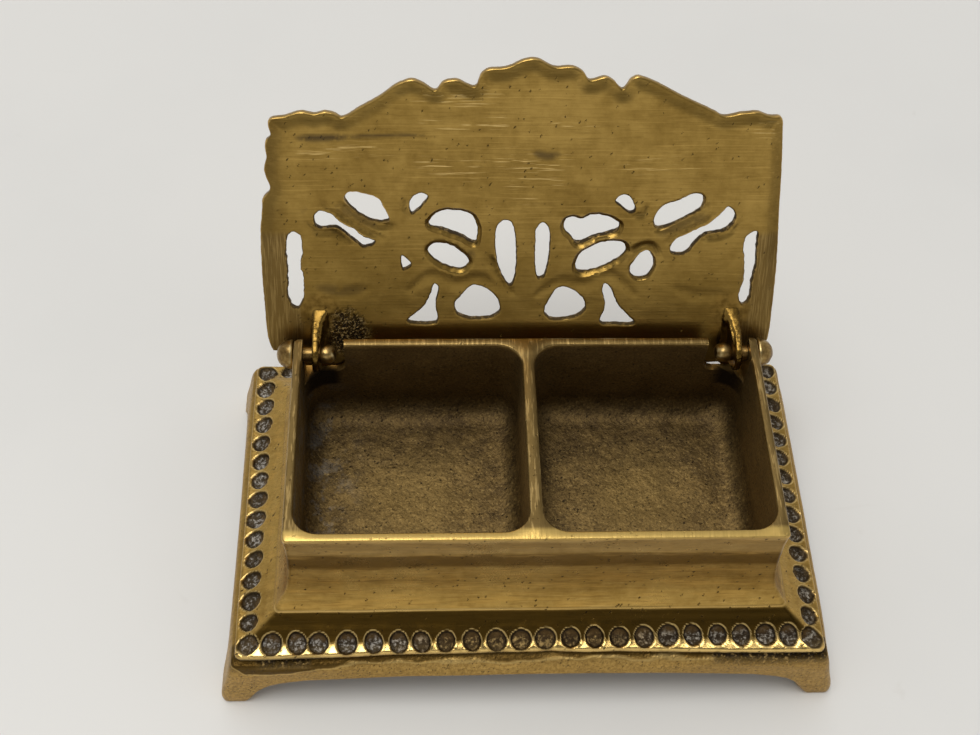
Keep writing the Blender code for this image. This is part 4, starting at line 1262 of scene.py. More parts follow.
# %% Guide points for the pits
PIT_LENGTH = 0.0039
PIT_WIDTH = 0.0036
PIT_DEPTH = 0.00072
PIT_BURR = 0.00008
PIT_INSET = 0.0034
PIT_PITCH = 0.0040
PIT_PULL = 0.0005
PIT_UNEVENNESS = 0.16
PIT_SEED = 11
PIT_NUDGES = {
    1: -0.0001, 3: -0.0006, 5: 0.0003, 6: 0.00035, 9: 0.0002, 10: 0.0002, 11: 0.0002,
    12: 0.00015, 13: 0.00025, 14: 0.00018, 15: 0.00022, 16: 0.0003, 17: 0.00023,
    18: 0.0003, 19: 0.00037, 20: 0.00028, 21: 0.00034, 22: 0.0001,
}


def band_height(out_share):
    heights = [(out, up) for out, up in MOULDING_SHARES if out > 0.25]
    return NOSE_HEIGHT + (RIM_HEIGHT - NOSE_HEIGHT) * read_off(heights, out_share)


def pit_guides():
    """(place, along, downhill, normal) for each pit."""
    half_width, half_depth = BASE_WIDTH / 2 - PIT_INSET, BASE_DEPTH / 2 - PIT_INSET
    across, along = round(2 * half_width / PIT_PITCH), round(2 * half_depth / PIT_PITCH)
    spots = []
    for side in (-1, 1):
        for i in range(1, across):
            x = half_width * (2 * i / across - 1) + (PIT_NUDGES.get(i, 0) if side < 0 else 0)
            pulled_in = PIT_PULL * smooth((x + 0.012) / 0.030) if side < 0 else 0
            spots.append((x, side * (half_depth - pulled_in), Vector((0, side, 0))))
        for i in range(1, along):
            y = half_depth * (2 * i / along - 1)
            spots.append((side * half_width, y, Vector((side, 0, 0))))
        for other in (-1, 1):
            outward = Vector((side, other, 0)).normalized()
            spots.append((side * half_width, other * half_depth, outward))
    guides = []
    for x, y, outward in spots:
        if abs(outward.x) > abs(outward.y):
            ledge = (BASE_WIDTH - BOX_WIDTH) / 2
        else:
            ledge = (BASE_DEPTH - BOX_DEPTH) / 2 + math.copysign(BASE_SHIFT, outward.y)
        share = 1 - PIT_INSET / ledge
        fall = band_height(share - 0.1) - band_height(share + 0.1)
        tilt = math.atan2(fall, 0.2 * ledge)
        downhill = outward * math.cos(tilt) - Vector((0, 0, math.sin(tilt)))
        beside = Vector((-outward.y, outward.x, 0))
        normal = beside.cross(downhill)
        normal *= math.copysign(1, normal.z)
        guides.append((
            Vector((x, y + BASE_SHIFT + SHIFT_Y, band_height(share))), beside, downhill, normal,
        ))
    return guides


def guide_cloud():
    guides = pit_guides()
    mesh = bpy.data.meshes.new("pit_guides")
    mesh.from_pydata([g[0] for g in guides], [], [])
    for k, name in enumerate(("beside", "downhill", "outward"), start=1):
        layer = mesh.attributes.new(name, "FLOAT_VECTOR", "POINT")
        for i, guide in enumerate(guides):
            layer.data[i].vector = guide[k]
    cloud = bpy.data.objects.new("pit_guides", mesh)
    bpy.context.scene.collection.objects.link(cloud)
    print("pits round the ledge:", len(guides))
    return cloud


# %% [markdown]
# ## Wiring node trees
#
# The pits, the sky and every material are trees of nodes. A weaver adds a node and links
# it in one call, so a tree reads like arithmetic: products, sums, soft steps, and layers
# that are laid over each other by masks.

# %% The weaver
def tree_socket(tree, name, kind, default=None, out=False):
    socket = tree.interface.new_socket(
        name=name, in_out="OUTPUT" if out else "INPUT", socket_type=kind
    )
    if default is not None:
        socket.default_value = default
    return socket


class Weaver:
    """Adds nodes to a tree and links them in one call."""

    def __init__(self, tree):
        self.tree = tree

    def add(self, kind, *inputs, **settings):
        node = self.tree.nodes.new(kind)
        for key, value in settings.items():
            setattr(node, key, value)
        for index, value in enumerate(inputs):
            if value is not None:
                self.put(node.inputs[index], value)
        return node

    def put(self, socket, value):
        if isinstance(value, bpy.types.NodeSocket):
            self.tree.links.new(value, socket)
        else:
            socket.default_value = value

    def math(self, operation, *inputs):
        return self.add("ShaderNodeMath", *inputs, operation=operation).outputs[0]

    def vector(self, operation, *inputs):
        node = self.add("ShaderNodeVectorMath", *inputs, operation=operation)
        return node.outputs["Value" if operation in ("DOT_PRODUCT", "LENGTH") else "Vector"]

    def fade(self, value, low, high, to_low=0.0, to_high=1.0):
        node = self.add("ShaderNodeMapRange", interpolation_type="SMOOTHSTEP")
        for name, given in (
            ("Value", value), ("From Min", low), ("From Max", high),
            ("To Min", to_low), ("To Max", to_high),
        ):
            self.put(node.inputs[name], given)
        return node.outputs["Result"]

    def fall(self, value, low, high):
        return self.fade(value, low, high, 1.0, 0.0)

    def chained(self, operation, first, *others):
        for value in others:
            first = self.math(operation, first, value)
        return first

    def times(self, *values):
        return self.chained("MULTIPLY", *values)

    def plus(self, *values):
        return self.chained("ADD", *values)

    def flip(self, value):
        return self.math("SUBTRACT", 1.0, value)

    def centred(self, value):
        return self.math("SUBTRACT", value, 0.5)

    def attribute(self, name):
        return self.add("ShaderNodeAttribute", attribute_name=name).outputs["Fac"]

    def drawn(self, vector, share):
        """Coordinates shrunk along X, so that a pattern is drawn out from side to side."""
        return self.vector("MULTIPLY", vector, (share, 1.0, 1.0))

    def clouds(self, vector, scale, detail=3.0, roughness=0.55, shift=(0, 0, 0)):
        node = self.add("ShaderNodeTexNoise")
        for name, given in (
            ("Vector", self.vector("ADD", vector, shift)), ("Scale", scale),
            ("Detail", detail), ("Roughness", roughness),
        ):
            self.put(node.inputs[name], given)
        return node.outputs["Fac"]

    def mix(self, factor, first, second, kind="RGBA"):
        node = self.add("ShaderNodeMix", data_type=kind)
        slot, out = {"RGBA": (6, 2), "FLOAT": (2, 0)}[kind]
        self.put(node.inputs["Factor"], factor)
        self.put(node.inputs[slot], first)
        self.put(node.inputs[slot + 1], second)
        return node.outputs[out]

    def painted(self, colour, *coats):
        """Lays (mask, colour) or (mask, colour, share) over a colour, one after another."""
        for mask, tint, *share in coats:
            colour = self.mix(self.times(mask, *share), colour, tint)
        return colour

    def layered(self, base, *layers):
        """Lays (mask, value) over a number, one after another."""
        for mask, value in layers:
            base = self.mix(mask, base, value, "FLOAT")
        return base


# %% [markdown]
# ## The tree that punches the pits
#
# For each point of the skin the tree finds the nearest guide and measures how far along,
# down and away from it the point lies. Inside the oval the skin sinks, round it the skin
# rises, and chance makes each pit a little different. The tree keeps its masks as
# attributes, which the material reads later.

# %% The tree that punches the pits
def punch_tree():
    tree = bpy.data.node_groups.new("punch_pits", "GeometryNodeTree")
    tree_socket(tree, "Geometry", "NodeSocketGeometry")
    tree_socket(tree, "Guides", "NodeSocketObject")
    for name, default in (
        ("Width", PIT_WIDTH), ("Length", PIT_LENGTH), ("Depth", PIT_DEPTH), ("Burr", PIT_BURR),
        ("Unevenness", PIT_UNEVENNESS),
    ):
        tree_socket(tree, name, "NodeSocketFloat", default)
    tree_socket(tree, "Seed", "NodeSocketInt", PIT_SEED)
    tree_socket(tree, "Material", "NodeSocketMaterial")
    tree_socket(tree, "Geometry", "NodeSocketGeometry", out=True)
    w = Weaver(tree)
    given = tree.nodes.new("NodeGroupInput").outputs
    guides = w.add("GeometryNodeObjectInfo", given["Guides"]).outputs["Geometry"]
    place = w.add("GeometryNodeInputPosition").outputs[0]
    nearest = w.add("GeometryNodeSampleNearest", guides).outputs["Index"]

    def of_guide(value):
        node = w.add("GeometryNodeSampleIndex", data_type="FLOAT_VECTOR")
        w.put(node.inputs["Geometry"], guides)
        w.put(node.inputs["Value"], value)
        w.put(node.inputs["Index"], nearest)
        return node.outputs["Value"]

    def named(name):
        node = w.add("GeometryNodeInputNamedAttribute", data_type="FLOAT_VECTOR")
        node.inputs["Name"].default_value = name
        return node.outputs["Attribute"]

    def chance(low, high, offset):
        node = w.add("FunctionNodeRandomValue", data_type="FLOAT")
        w.put(node.inputs[2], low)
        w.put(node.inputs[3], high)
        w.put(node.inputs["ID"], nearest)
        w.put(node.inputs["Seed"], w.plus(given["Seed"], offset))
        return node.outputs[1]

    def uneven(scale, strength):
        cloud = w.add("ShaderNodeTexNoise")
        w.put(cloud.inputs["Vector"], place)
        w.put(cloud.inputs["Scale"], scale)
        return w.times(w.centred(cloud.outputs["Fac"]), strength)

    centre = of_guide(w.add("GeometryNodeInputPosition").outputs[0])
    beside, downhill, outward = (of_guide(named(n)) for n in ("beside", "downhill", "outward"))
    offset = w.vector("SUBTRACT", place, centre)
    across = w.vector("DOT_PRODUCT", offset, beside)
    down = w.vector("DOT_PRODUCT", offset, downhill)
    down = w.plus(down, chance(-0.00012, 0.00012, 4))
    turn = chance(-0.35, 0.35, 1)
    sine, cosine = w.math("SINE", turn), w.math("COSINE", turn)
    u = w.plus(w.times(across, cosine), w.times(down, sine))
    v = w.math("SUBTRACT", w.times(down, cosine), w.times(across, sine))
    u = w.math("DIVIDE", u, w.times(given["Width"], chance(0.45, 0.52, 2)))
    v = w.math("DIVIDE", v, w.times(given["Length"], chance(0.46, 0.53, 3)))
    reach = w.vector("LENGTH", w.add("ShaderNodeCombineXYZ", u, v).outputs[0])
    reach = w.plus(reach, uneven(620.0, given["Unevenness"]))
    inner = w.fall(reach, 0.74, 0.97)
    rise = w.times(w.fade(reach, 0.86, 0.98), w.fall(reach, 1.00, 1.15))
    depth = w.times(given["Depth"], w.plus(uneven(1500.0, 0.45), chance(0.8, 1.15, 5)))
    lower_side = w.fade(v, -0.4, 0.4, 0.35, 1.0)
    raised = w.times(rise, given["Burr"], chance(0.6, 1.25, 6), lower_side)
    lift = w.math("SUBTRACT", raised, w.times(inner, depth))
    push = w.add("ShaderNodeVectorMath", outward, operation="SCALE")
    w.put(push.inputs["Scale"], lift)
    moved = w.add("GeometryNodeSetPosition", given["Geometry"])
    w.put(moved.inputs["Offset"], push.outputs["Vector"])
    result = moved.outputs["Geometry"]
    for name, value in (
        ("pit", inner), ("burr", rise), ("pit_chance", chance(0.0, 1.0, 7)), ("pit_down", v),
    ):
        kept = w.add("GeometryNodeStoreNamedAttribute", data_type="FLOAT", domain="POINT")
        w.put(kept.inputs["Geometry"], result)
        w.put(kept.inputs["Name"], name)
        w.put(kept.inputs["Value"], value)
        result = kept.outputs["Geometry"]
    real = w.add("GeometryNodeRealizeInstances", result).outputs["Geometry"]
    paint = w.add("GeometryNodeSetMaterial", real)
    w.put(paint.inputs["Material"], given["Material"])
    w.add("NodeGroupOutput", paint.outputs["Geometry"])
    return tree


def run_tree(piece, tree, values):
    """Runs a tree on the piece and keeps the result as its plain mesh."""
    modifier = piece.modifiers.new(tree.name, "NODES")
    modifier.node_group = tree
    sockets = {
        item.name: item.identifier for item in tree.interface.items_tree
        if item.in_out == "INPUT"
    }
    for name, value in values.items():
        modifier[sockets[name]] = value
    settle(piece)
    print(piece.name, "after", tree.name, "has", len(piece.data.polygons), "faces")


# %% [markdown]
# ## Sky
#
# The world is a gradient by height, with a bright field high behind the box and a dark one
# high in front, where the photographer leaned over it.

# %% Sky
HORIZON_LEVEL = 0.72
UPPER_LEVEL = 0.42
DARK_FRONT = 0.03
BRIGHT_TOP = 0.98


def sky():
    """The sky's brightness by direction: y is the depth and z the height."""
    world = bpy.data.worlds.new("sky")
    world.use_nodes = True
    w = Weaver(world.node_tree)
    direction = w.add("ShaderNodeTexCoord").outputs["Generated"]
    height = w.add("ShaderNodeSeparateXYZ", direction).outputs["Z"]
    to_front = Vector((0.05, -0.62, 0.79)).normalized()
    to_back = Vector((-0.15, 0.60, 0.79)).normalized()
    front = w.vector("DOT_PRODUCT", direction, to_front)
    back = w.vector("DOT_PRODUCT", direction, to_back)
    level = w.fade(height, 0.30, 0.60, HORIZON_LEVEL, UPPER_LEVEL)
    level = w.layered(
        level, (w.fade(back, 0.80, 0.95), BRIGHT_TOP), (w.fade(front, 0.76, 0.92), DARK_FRONT),
    )
    w.put(world.node_tree.nodes["Background"].inputs["Color"], level)
    bpy.context.scene.world = world


sky()

# %% [markdown]
# ## Masks on the skin
#
# Old brass is bright where hands and files reach, and dark where they don't. The mesh
# itself knows which is which: a point that stands out from its neighbours is an edge, and
# one that lies below them is a hollow. Both are kept as attributes, with others for the
# filed rim, the inside of the compartments, the dirty spots and the places of painted shade,
# and the materials read them.

# %% Masks
SMOOTHING_PASSES = 2


def store(mesh, name, values):
    layer = mesh.attributes.get(name) or mesh.attributes.new(name, "FLOAT", "POINT")
    layer.data.foreach_set("value", values)


def curvature_masks(mesh, radius):
    """Stores edge and cavity: how far each point stands out, for its distance to others."""
    count = len(mesh.vertices)
    places = [v.co for v in mesh.vertices]
    normals = [v.normal for v in mesh.vertices]
    near = [[] for _ in range(count)]
    for edge in mesh.edges:
        a, b = edge.vertices
        near[a].append(b)
        near[b].append(a)
    values = []
    for i in range(count):
        total, weight = 0.0, 1e-12
        for j in near[i]:
            gap = places[i] - places[j]
            length = gap.length + 1e-9
            total += normals[i].dot(gap) / length
            weight += length
        values.append(total / weight * radius if near[i] else 0.0)
    for _ in range(SMOOTHING_PASSES):
        values = [
            (values[i] + sum(values[j] for j in near[i]) / max(len(near[i]), 1)) / 2
            for i in range(count)
        ]
    store(mesh, "edge", [min(max(v, 0.0), 1.0) for v in values])
    store(mesh, "cavity", [min(max(-v, 0.0), 1.0) for v in values])


def box_masks(mesh):
    masks = {name: [] for name in (
        "rim", "pocket", "groove", "foul", "notch_shade", "worn", "slope",
    )}
    for vert in mesh.vertices:
        x, y, z = vert.co.x, vert.co.y - SHIFT_Y, vert.co.z
        within = abs(x) < INNER_HALF_WIDTH + 0.0004 and abs(y) < INNER_HALF_DEPTH + 0.0004
        deep = smooth((RIM_HEIGHT - z) / 0.0006)
        outside = max(abs(x) / BASE_WIDTH, abs(y - BASE_SHIFT) / BASE_DEPTH) > 0.44
        front = y < BASE_SHIFT - BASE_DEPTH / 2 + 0.0045
        masks["rim"].append(smooth((z - RIM_HEIGHT + 0.00028) / 0.0002) * (vert.normal.z > 0.5))
        masks["pocket"].append(deep if within and z > FLOOR_HEIGHT - 0.0012 else 0.0)
        wander = noise.noise(Vector((x, y, 0)) / 0.004)
        left_end = smooth((-x - 0.031) / 0.006)
        # Painted shade in the groove under the nose, wider at the left end of the front.
        width = 0.0006 + 0.0002 * wander
        shelf = smooth((y + 0.0293 + 0.0009 * left_end + 0.00025 * wander) / 0.0003)
        shelf = max(shelf * front, 0.3 * (not front))
        depth = abs(z - 0.0117 + 0.0004 * left_end * front) / (width + 0.0006 * left_end * front)
        masks["groove"].append(smooth(1.7 - depth) * outside * shelf)
        flat = smooth((-0.0262 - y) / 0.0009) * smooth((z - 0.0119) / 0.0003)
        masks["worn"].append(flat * front * (z < 0.0145))
        # Painted shade on the front slope of the ledge.
        ahead = -y - BOX_DEPTH / 2
        facing = smooth((ahead * 1.15 + BOX_WIDTH / 2 - abs(x)) / 0.0008) * (ahead > 0.0015)
        masks["slope"].append(facing * smooth((0.0165 - z) / 0.0002) * (z > 0.0123) * (1 - flat))
        left_patch = 1.3 - abs(x + 0.0408) / 0.0038
        right_patch = 1.3 - abs(x - 0.0415) / 0.0105
        band = smooth(1.8 - abs(z - 0.0113) / (0.0008 - 0.0003 * left_end))
        masks["foul"].append(smooth(max(left_patch, right_patch, 0.08) * 3) * band * front)
        # Painted shade in the notches and on the back wall beside them, under the rim.
        notch = abs(x) > INNER_HALF_WIDTH - NOTCH_LENGTH - 0.0006 and y > INNER_HALF_DEPTH - 0.004
        hinge_shade = smooth((y - INNER_HALF_DEPTH + 0.004) / 0.003) * smooth((RIM_HEIGHT - z) / 0.0015)
        hinge_shade *= smooth((INNER_HALF_DEPTH + 0.0009 - y) / 0.0004)
        from_end = abs(x) - INNER_HALF_WIDTH + NOTCH_LENGTH - 0.0004 - wander * 0.003
        hinge_shade *= smooth(from_end / 0.003)
        masks["notch_shade"].append(hinge_shade * notch * (abs(x) < INNER_HALF_WIDTH + 0.0005) * (z > 0.024))
    for name, values in masks.items():
        store(mesh, name, values)


LID_MARKS = {
    # Real stains, and along some of the hollows painted shade.
    "stain_and_shade": [
        (0.9, 1.0, [(-0.85, 0.935), (-0.76, 0.935), (-0.66, 0.94)]),
        (0.5, 0.8, [(-0.70, 0.94), (-0.56, 0.945), (-0.38, 0.95)]),
        (1.1, 0.5, [(-0.83, 0.63), (-0.84, 0.62)]),
        (1.0, 0.7, [(-0.21, 0.435), (-0.20, 0.42)]),
        (1.4, 0.5, [(-0.80, 0.28), (-0.72, 0.26), (-0.62, 0.27)]),
        (1.0, 0.8, [(0.03, 0.875), (0.08, 0.86), (0.12, 0.87)]),
        (1.3, 0.6, [(0.52, 0.515), (0.60, 0.555), (0.70, 0.60)]),
        (1.2, 0.5, [(-0.72, 0.645), (-0.64, 0.60), (-0.56, 0.55)]),
    ],
    "scratched": [
        (1.6, 1.0, [(-0.39, 0.995), (-0.28, 0.995), (-0.22, 0.99)]),
        (1.5, 1.0, [(-0.18, 1.00), (-0.08, 1.00)]),
        (2.6, 1.0, [(-0.40, 0.83), (-0.28, 0.81), (-0.16, 0.80)]),
        (2.8, 1.0, [(-0.14, 0.86), (0.02, 0.83), (0.16, 0.84)]),
        (1.8, 0.8, [(-0.08, 0.75), (0.04, 0.74), (0.14, 0.745)]),
        (2.2, 0.7, [(-0.45, 1.10), (-0.30, 1.09), (-0.10, 1.10)]),
        (2.0, 0.7, [(0.10, 0.99), (0.25, 0.97)]),
        (2.4, 0.6, [(-0.05, 0.66), (0.02, 0.68)]),
        (2.6, 0.9, [(0.86, 0.985), (0.92, 0.97)]),
        (2.0, 0.8, [(-0.84, 0.87), (-0.66, 0.89), (-0.50, 0.88)]),
        (2.4, 0.5, [(0.30, 0.80), (0.55, 0.82), (0.70, 0.80)]),
    ],
}


def lid_masks(mesh):
    strokes = {name: stroke_tree(runs, mirrored=False) for name, runs in LID_MARKS.items()}
    _, _, openings = lid_loops()
    sawn_tree = tree_of([p for loop in openings.values() for p in densified(loop)])
    names = ("strip", "patch", "rolled", "sawn", "hinge_shade", "lug", *LID_MARKS)
    masks = {name: [] for name in names}
    for vert in mesh.vertices:
        p = lid_frame(vert.co)
        across, out = (p.x - LID_SHIFT) / (LID_WIDTH / 2), p.y / LID_REACH
        under = p.z < LID_UNDERSIDE + 0.0017
        to_strip = smooth((abs(across) - 0.845) / 0.03) * smooth((0.54 - out) / 0.04)
        masks["strip"].append(to_strip * under)
        jagged = noise.noise(Vector((p.x, p.y, 0)) / 0.0011) * 0.25
        rough = 1 + jagged - Vector(((across + 0.685) / 0.09, (out - 0.055) / 0.125)).length
        masks["patch"].append(smooth(rough * 2.2 + 0.1) * under * (across > -0.80))
        root = smooth((0.0042 - math.hypot(abs(p.x) - LUG_CENTRE, p.y - 0.0066)) / 0.0014)
        proud = smooth((LID_UNDERSIDE - 0.00005 - p.z) / 0.0003)
        masks["lug"].append(max(root, proud) * (p.z < LID_UNDERSIDE + 0.0008))
        # Painted shade on the rolled side edges of the underside, stronger at the left.
        left = smooth((-across - 0.875) / 0.09) * smooth((out - 0.45) / 0.1)
        right = 0.8 * smooth((across - 0.905) / 0.07) * smooth((out - 0.3) / 0.2)
        masks["rolled"].append(max(left, right) * under)
        to_saw = sawn_tree.find((p.x, p.y, 0))[2]
        masks["sawn"].append(smooth((0.00013 - to_saw) / 0.00009))
        # Painted shade on the underside near the hinge.
        masks["hinge_shade"].append(smooth((0.0022 - p.y) / 0.0035) * under)
        for name, stroke in strokes.items():
            masks[name].append(min(stroke_height(stroke, p.x, p.y) / MM, 1.0) * under)
    for name, values in masks.items():
        store(mesh, name, values)


# %% [markdown]
# ## Effects shared by the brasses
#
# Four effects appear on every piece, so each is a node group: the blotchy tarnish, the
# fine parallel marks of a file, the pores of cast metal, and the rubbed edges. A material
# places a group and gives it its own values.

# %% Shared effects
SOCKET_KINDS = {1: "NodeSocketFloat", 3: "NodeSocketVector", 4: "NodeSocketColor"}


def shader_group(name, outputs, **inputs):
    """A tree with a Vector and the named inputs, whose kinds follow from their defaults."""
    tree = bpy.data.node_groups.new(name, "ShaderNodeTree")
    tree_socket(tree, "Vector", SOCKET_KINDS[3])
    for label, default in inputs.items():
        size = len(default) if isinstance(default, tuple) else 1
        tree_socket(tree, label.replace("_", " "), SOCKET_KINDS[size], default)
    for label in outputs:
        tree_socket(tree, label, SOCKET_KINDS[4 if label == "Color" else 1], out=True)
    return tree, Weaver(tree), tree.nodes.new("NodeGroupInput").outputs


def tarnish_group():
    tree, w, given = shader_group(
        "tarnish", ("Color", "Tone"), Clean=(0.4, 0.27, 0.08, 1), Aged=(0.26, 0.17, 0.045, 1),
        Dark=(0.1, 0.06, 0.02, 1), Patch_Size=90.0, Grain_Size=1100.0, Age=0.5,
    )
    vector = given["Vector"]
    large = w.clouds(vector, given["Patch Size"], 4.0, 0.62)
    small = w.clouds(vector, w.times(given["Patch Size"], 5.2), 3.0, 0.6, (3, 1, 2))
    grain = w.clouds(vector, given["Grain Size"], 2.0, 0.7, (5, 5, 1))
    tone = w.plus(
        w.times(large, 0.55), w.times(small, 0.30), w.times(grain, 0.15),
        w.times(w.centred(given["Age"]), 0.5),
    )
    colour = w.painted(
        given["Clean"], (w.fade(tone, 0.36, 0.60), given["Aged"]),
        (w.fade(tone, 0.55, 0.74), given["Dark"]),
    )
    w.add("NodeGroupOutput", colour, tone)
    return tree


def marks_group():
    tree, w, given = shader_group(
        "file_marks", ("Height", "Mask"), Stretch=(1, 30, 30), Scale=120.0, Sparseness=0.6,
    )
    bent = w.times(w.centred(w.clouds(given["Vector"], 60.0, 1.0)), 0.0005)
    stretched = w.vector("MULTIPLY", w.vector("ADD", given["Vector"], bent), given["Stretch"])
    fine = w.clouds(stretched, given["Scale"], 2.0, 0.7)
    deep = w.clouds(stretched, w.times(given["Scale"], 0.37), 1.0, 0.5, (9, 4, 1))
    mask = w.fade(fine, given["Sparseness"], w.plus(given["Sparseness"], 0.10))
    w.add("NodeGroupOutput", w.plus(w.times(fine, 0.6), w.times(deep, 0.6)), mask)
    return tree


def pores_group():
    tree, w, given = shader_group(
        "casting_pores", ("Height", "Mask"), Scale=700.0, Amount=0.3, Spread=1.0,
    )
    cells = w.add("ShaderNodeTexVoronoi", feature="F1")
    wobble = w.clouds(given["Vector"], w.times(given["Scale"], 1.7), 1.0)
    wobble = w.times(w.centred(wobble), 0.0009)
    w.put(cells.inputs["Vector"], w.vector("ADD", given["Vector"], wobble))
    w.put(cells.inputs["Scale"], given["Scale"])
    pick = w.add("ShaderNodeSeparateColor", cells.outputs["Color"]).outputs[0]
    chosen = w.math("LESS_THAN", pick, given["Amount"])
    distance = w.math("DIVIDE", cells.outputs["Distance"], given["Spread"])
    mask = w.times(w.fall(distance, 0.18, 0.42), chosen)
    w.add("NodeGroupOutput", w.times(mask, -1.0), mask)
    return tree


def rubbed_group():
    tree, w, given = shader_group(
        "rubbed_edges", ("Mask",), Edge=0.0, Low=0.10, High=0.30, Break_Up=0.25,
    )
    broken = w.times(w.centred(w.clouds(given["Vector"], 420.0, 4.0, 0.65)), given["Break Up"])
    w.add("NodeGroupOutput", w.fade(w.plus(given["Edge"], broken), given["Low"], given["High"]))
    return tree


groups = {
    "tarnish": tarnish_group(), "marks": marks_group(),
    "pores": pores_group(), "rubbed": rubbed_group(),
}
print("shared effects:", [tree.name for tree in groups.values()])

# %% [markdown]
# ## What every material does
#
# A material starts from the object's own coordinates, so that grain and marks stay in
# place when a piece moves. It ends at the shader, with the fine relief as a bump.

# %% Building blocks of a brass
BUMP_DEPTH = 0.00006
RIVET_BUMP = 0.00005


def effect(w, name, vector, **values):
    node = w.tree.nodes.new("ShaderNodeGroup")
    node.node_tree = groups[name]
    w.put(node.inputs["Vector"], vector)
    for label, value in values.items():
        w.put(node.inputs[label.replace("_", " ")], value)
    return node.outputs


def rubbed(w, vector, low, high, break_up):
    return effect(
        w, "rubbed", vector, Edge=w.attribute("edge"), Low=low, High=high, Break_Up=break_up,
    )["Mask"]


def new_material(name):
    material = bpy.data.materials.new(name)
    material.use_nodes = True
    w = Weaver(material.node_tree)
    vector = w.add("ShaderNodeTexCoord").outputs["Object"]
    return material, w, vector, material.node_tree.nodes["Principled BSDF"]


def finish_material(w, shader, colour, metallic, roughness, height, distance=BUMP_DEPTH):
    w.put(shader.inputs["Base Color"], colour)
    w.put(shader.inputs["Metallic"], metallic)
    w.put(shader.inputs["Roughness"], roughness)
    bump = w.add("ShaderNodeBump")
    bump.inputs["Strength"].default_value = 1.0
    bump.inputs["Distance"].default_value = distance
    w.put(bump.inputs["Height"], height)
    w.put(shader.inputs["Normal"], bump.outputs["Normal"])


# %% [markdown]
# ## Brass of the box
#
# One material covers the casting, because it is one piece of metal. Masks lay the zones
# over each other: tarnished mouldings, a filed rim with marks across it, dark rough
# compartments, and pits with dirt, silver at the left, golden in the middle, dark at the right.
# Painted shade darkens the front slope, the groove and gutter under the nose, the notches, the
# walls of the pits and the backs of the compartments. Painted highlights run along the front
# of the rim, the fillet and the edge below the nose, painted reflections lay a dark and a light
# band on the walls, and painted light brightens the floors' middles and the compartment walls.

# %% Brass of the box
CLEAN = (0.62, 0.40, 0.125, 1)
# Near black: dirt in pores and hollows, and also the colour of painted shade.
GRIME_AND_SHADE = (0.014, 0.009, 0.005, 1)
POLISHED = (0.84, 0.59, 0.21, 1)
BARE_RIM = (0.62, 0.44, 0.17, 1)
POCKET_MIDDLE = (INNER_HALF_WIDTH + DIVIDER / 2) / 2
POCKET_SHIFT = 0.0085
FRONT_WALL = SHIFT_Y - BOX_DEPTH / 2


def pit_dirt(w, vector, across, down):
    """Chalky dirt in the pits: silver on the left, golden in the middle, dark at the right."""
    speckle = w.clouds(vector, 1700.0, 3.0, 0.75, (1, 7, 3))
    patches = w.clouds(vector, 520.0, 2.0, 0.6, (2, 1, 8))
    chalk = w.fade(w.plus(w.times(speckle, 0.75), w.times(patches, 0.25)), 0.47, 0.64)
    silver = w.mix(chalk, (0.048, 0.034, 0.018, 1), (0.56, 0.53, 0.48, 1))
    golden = w.mix(chalk, (0.046, 0.025, 0.006, 1), (0.40, 0.27, 0.10, 1))
    dark = w.mix(chalk, (0.034, 0.021, 0.009, 1), (0.47, 0.43, 0.36, 1))
    gloom = w.fade(w.attribute("pit_chance"), 0.0, 1.0, 0.0, 0.35)
    # Painted shadow on the upper side of each pit.
    shaded = w.fade(w.plus(down, w.times(patches, 0.5)), -0.35, 0.25, 0.9, 0.0)
    return w.painted(
        silver, (w.fade(across, -0.026, -0.013), golden), (w.fade(across, 0.012, 0.026), dark),
        (gloom, GRIME_AND_SHADE), (shaded, (0.085, 0.046, 0.011, 1)),
    )


def pocket_colour(w, vector, across, deep, up, skin):
    """Sandy and dark, painted lighter in the middle of each floor, with grey residue at the left.
    """
    # Painted light in the middle of each floor, darker towards its walls.
    aside = w.math("SUBTRACT", w.math("ABSOLUTE", across), POCKET_MIDDLE)
    from_middle = w.vector("LENGTH", w.add(
        "ShaderNodeCombineXYZ", aside, w.plus(deep, POCKET_SHIFT), 0.0,
    ).outputs[0])
    cloud = w.clouds(vector, 170.0, 3.0, 0.6, (9, 1, 3))
    from_middle = w.plus(from_middle, w.times(cloud, 0.009))
    # Painted light on the walls.
    walls = w.mix(0.55, skin, (0.26, 0.16, 0.05, 1))
    chalky = w.clouds(vector, 260.0, 4.0, 0.7, (3, 2, 9))
    residue = w.times(w.fall(across, -0.0385, -0.0270), w.fade(chalky, 0.46, 0.66))
    sand = w.clouds(vector, 2300.0, 3.0, 0.75, (6, 1, 1))
    return w.painted(
        (0.25, 0.162, 0.050, 1),
        (w.fade(from_middle, 0.006, 0.020), skin),
        (0.35, skin),
        (w.fade(up, 0.0175, 0.0230), walls),
        (residue, (0.22, 0.21, 0.19, 1), 0.75),
        (w.fade(sand, 0.46, 0.36, 0.0, 0.65), (0.022, 0.013, 0.005, 1)),
        (w.fade(sand, 0.57, 0.66, 0.0, 0.60), (0.42, 0.29, 0.10, 1)),
        # painted shade towards the back of each compartment
        (w.fade(deep, -0.004, 0.009, 0.0, 0.45), (0.045, 0.026, 0.009, 1)),
    )


def rim_colour(w, deep, marks):
    """The filed rim: dull with brighter marks across it, and a painted highlight along the front.
    """
    filed = w.mix(marks["Mask"], (0.145, 0.095, 0.033, 1), (0.33, 0.225, 0.086, 1))
    # Painted highlight along the front of the rim.
    near_front = w.fade(deep, FRONT_WALL + 0.0015, FRONT_WALL + 0.0024, 0.8, 0.0)
    return w.mix(near_front, filed, (0.56, 0.385, 0.115, 1))


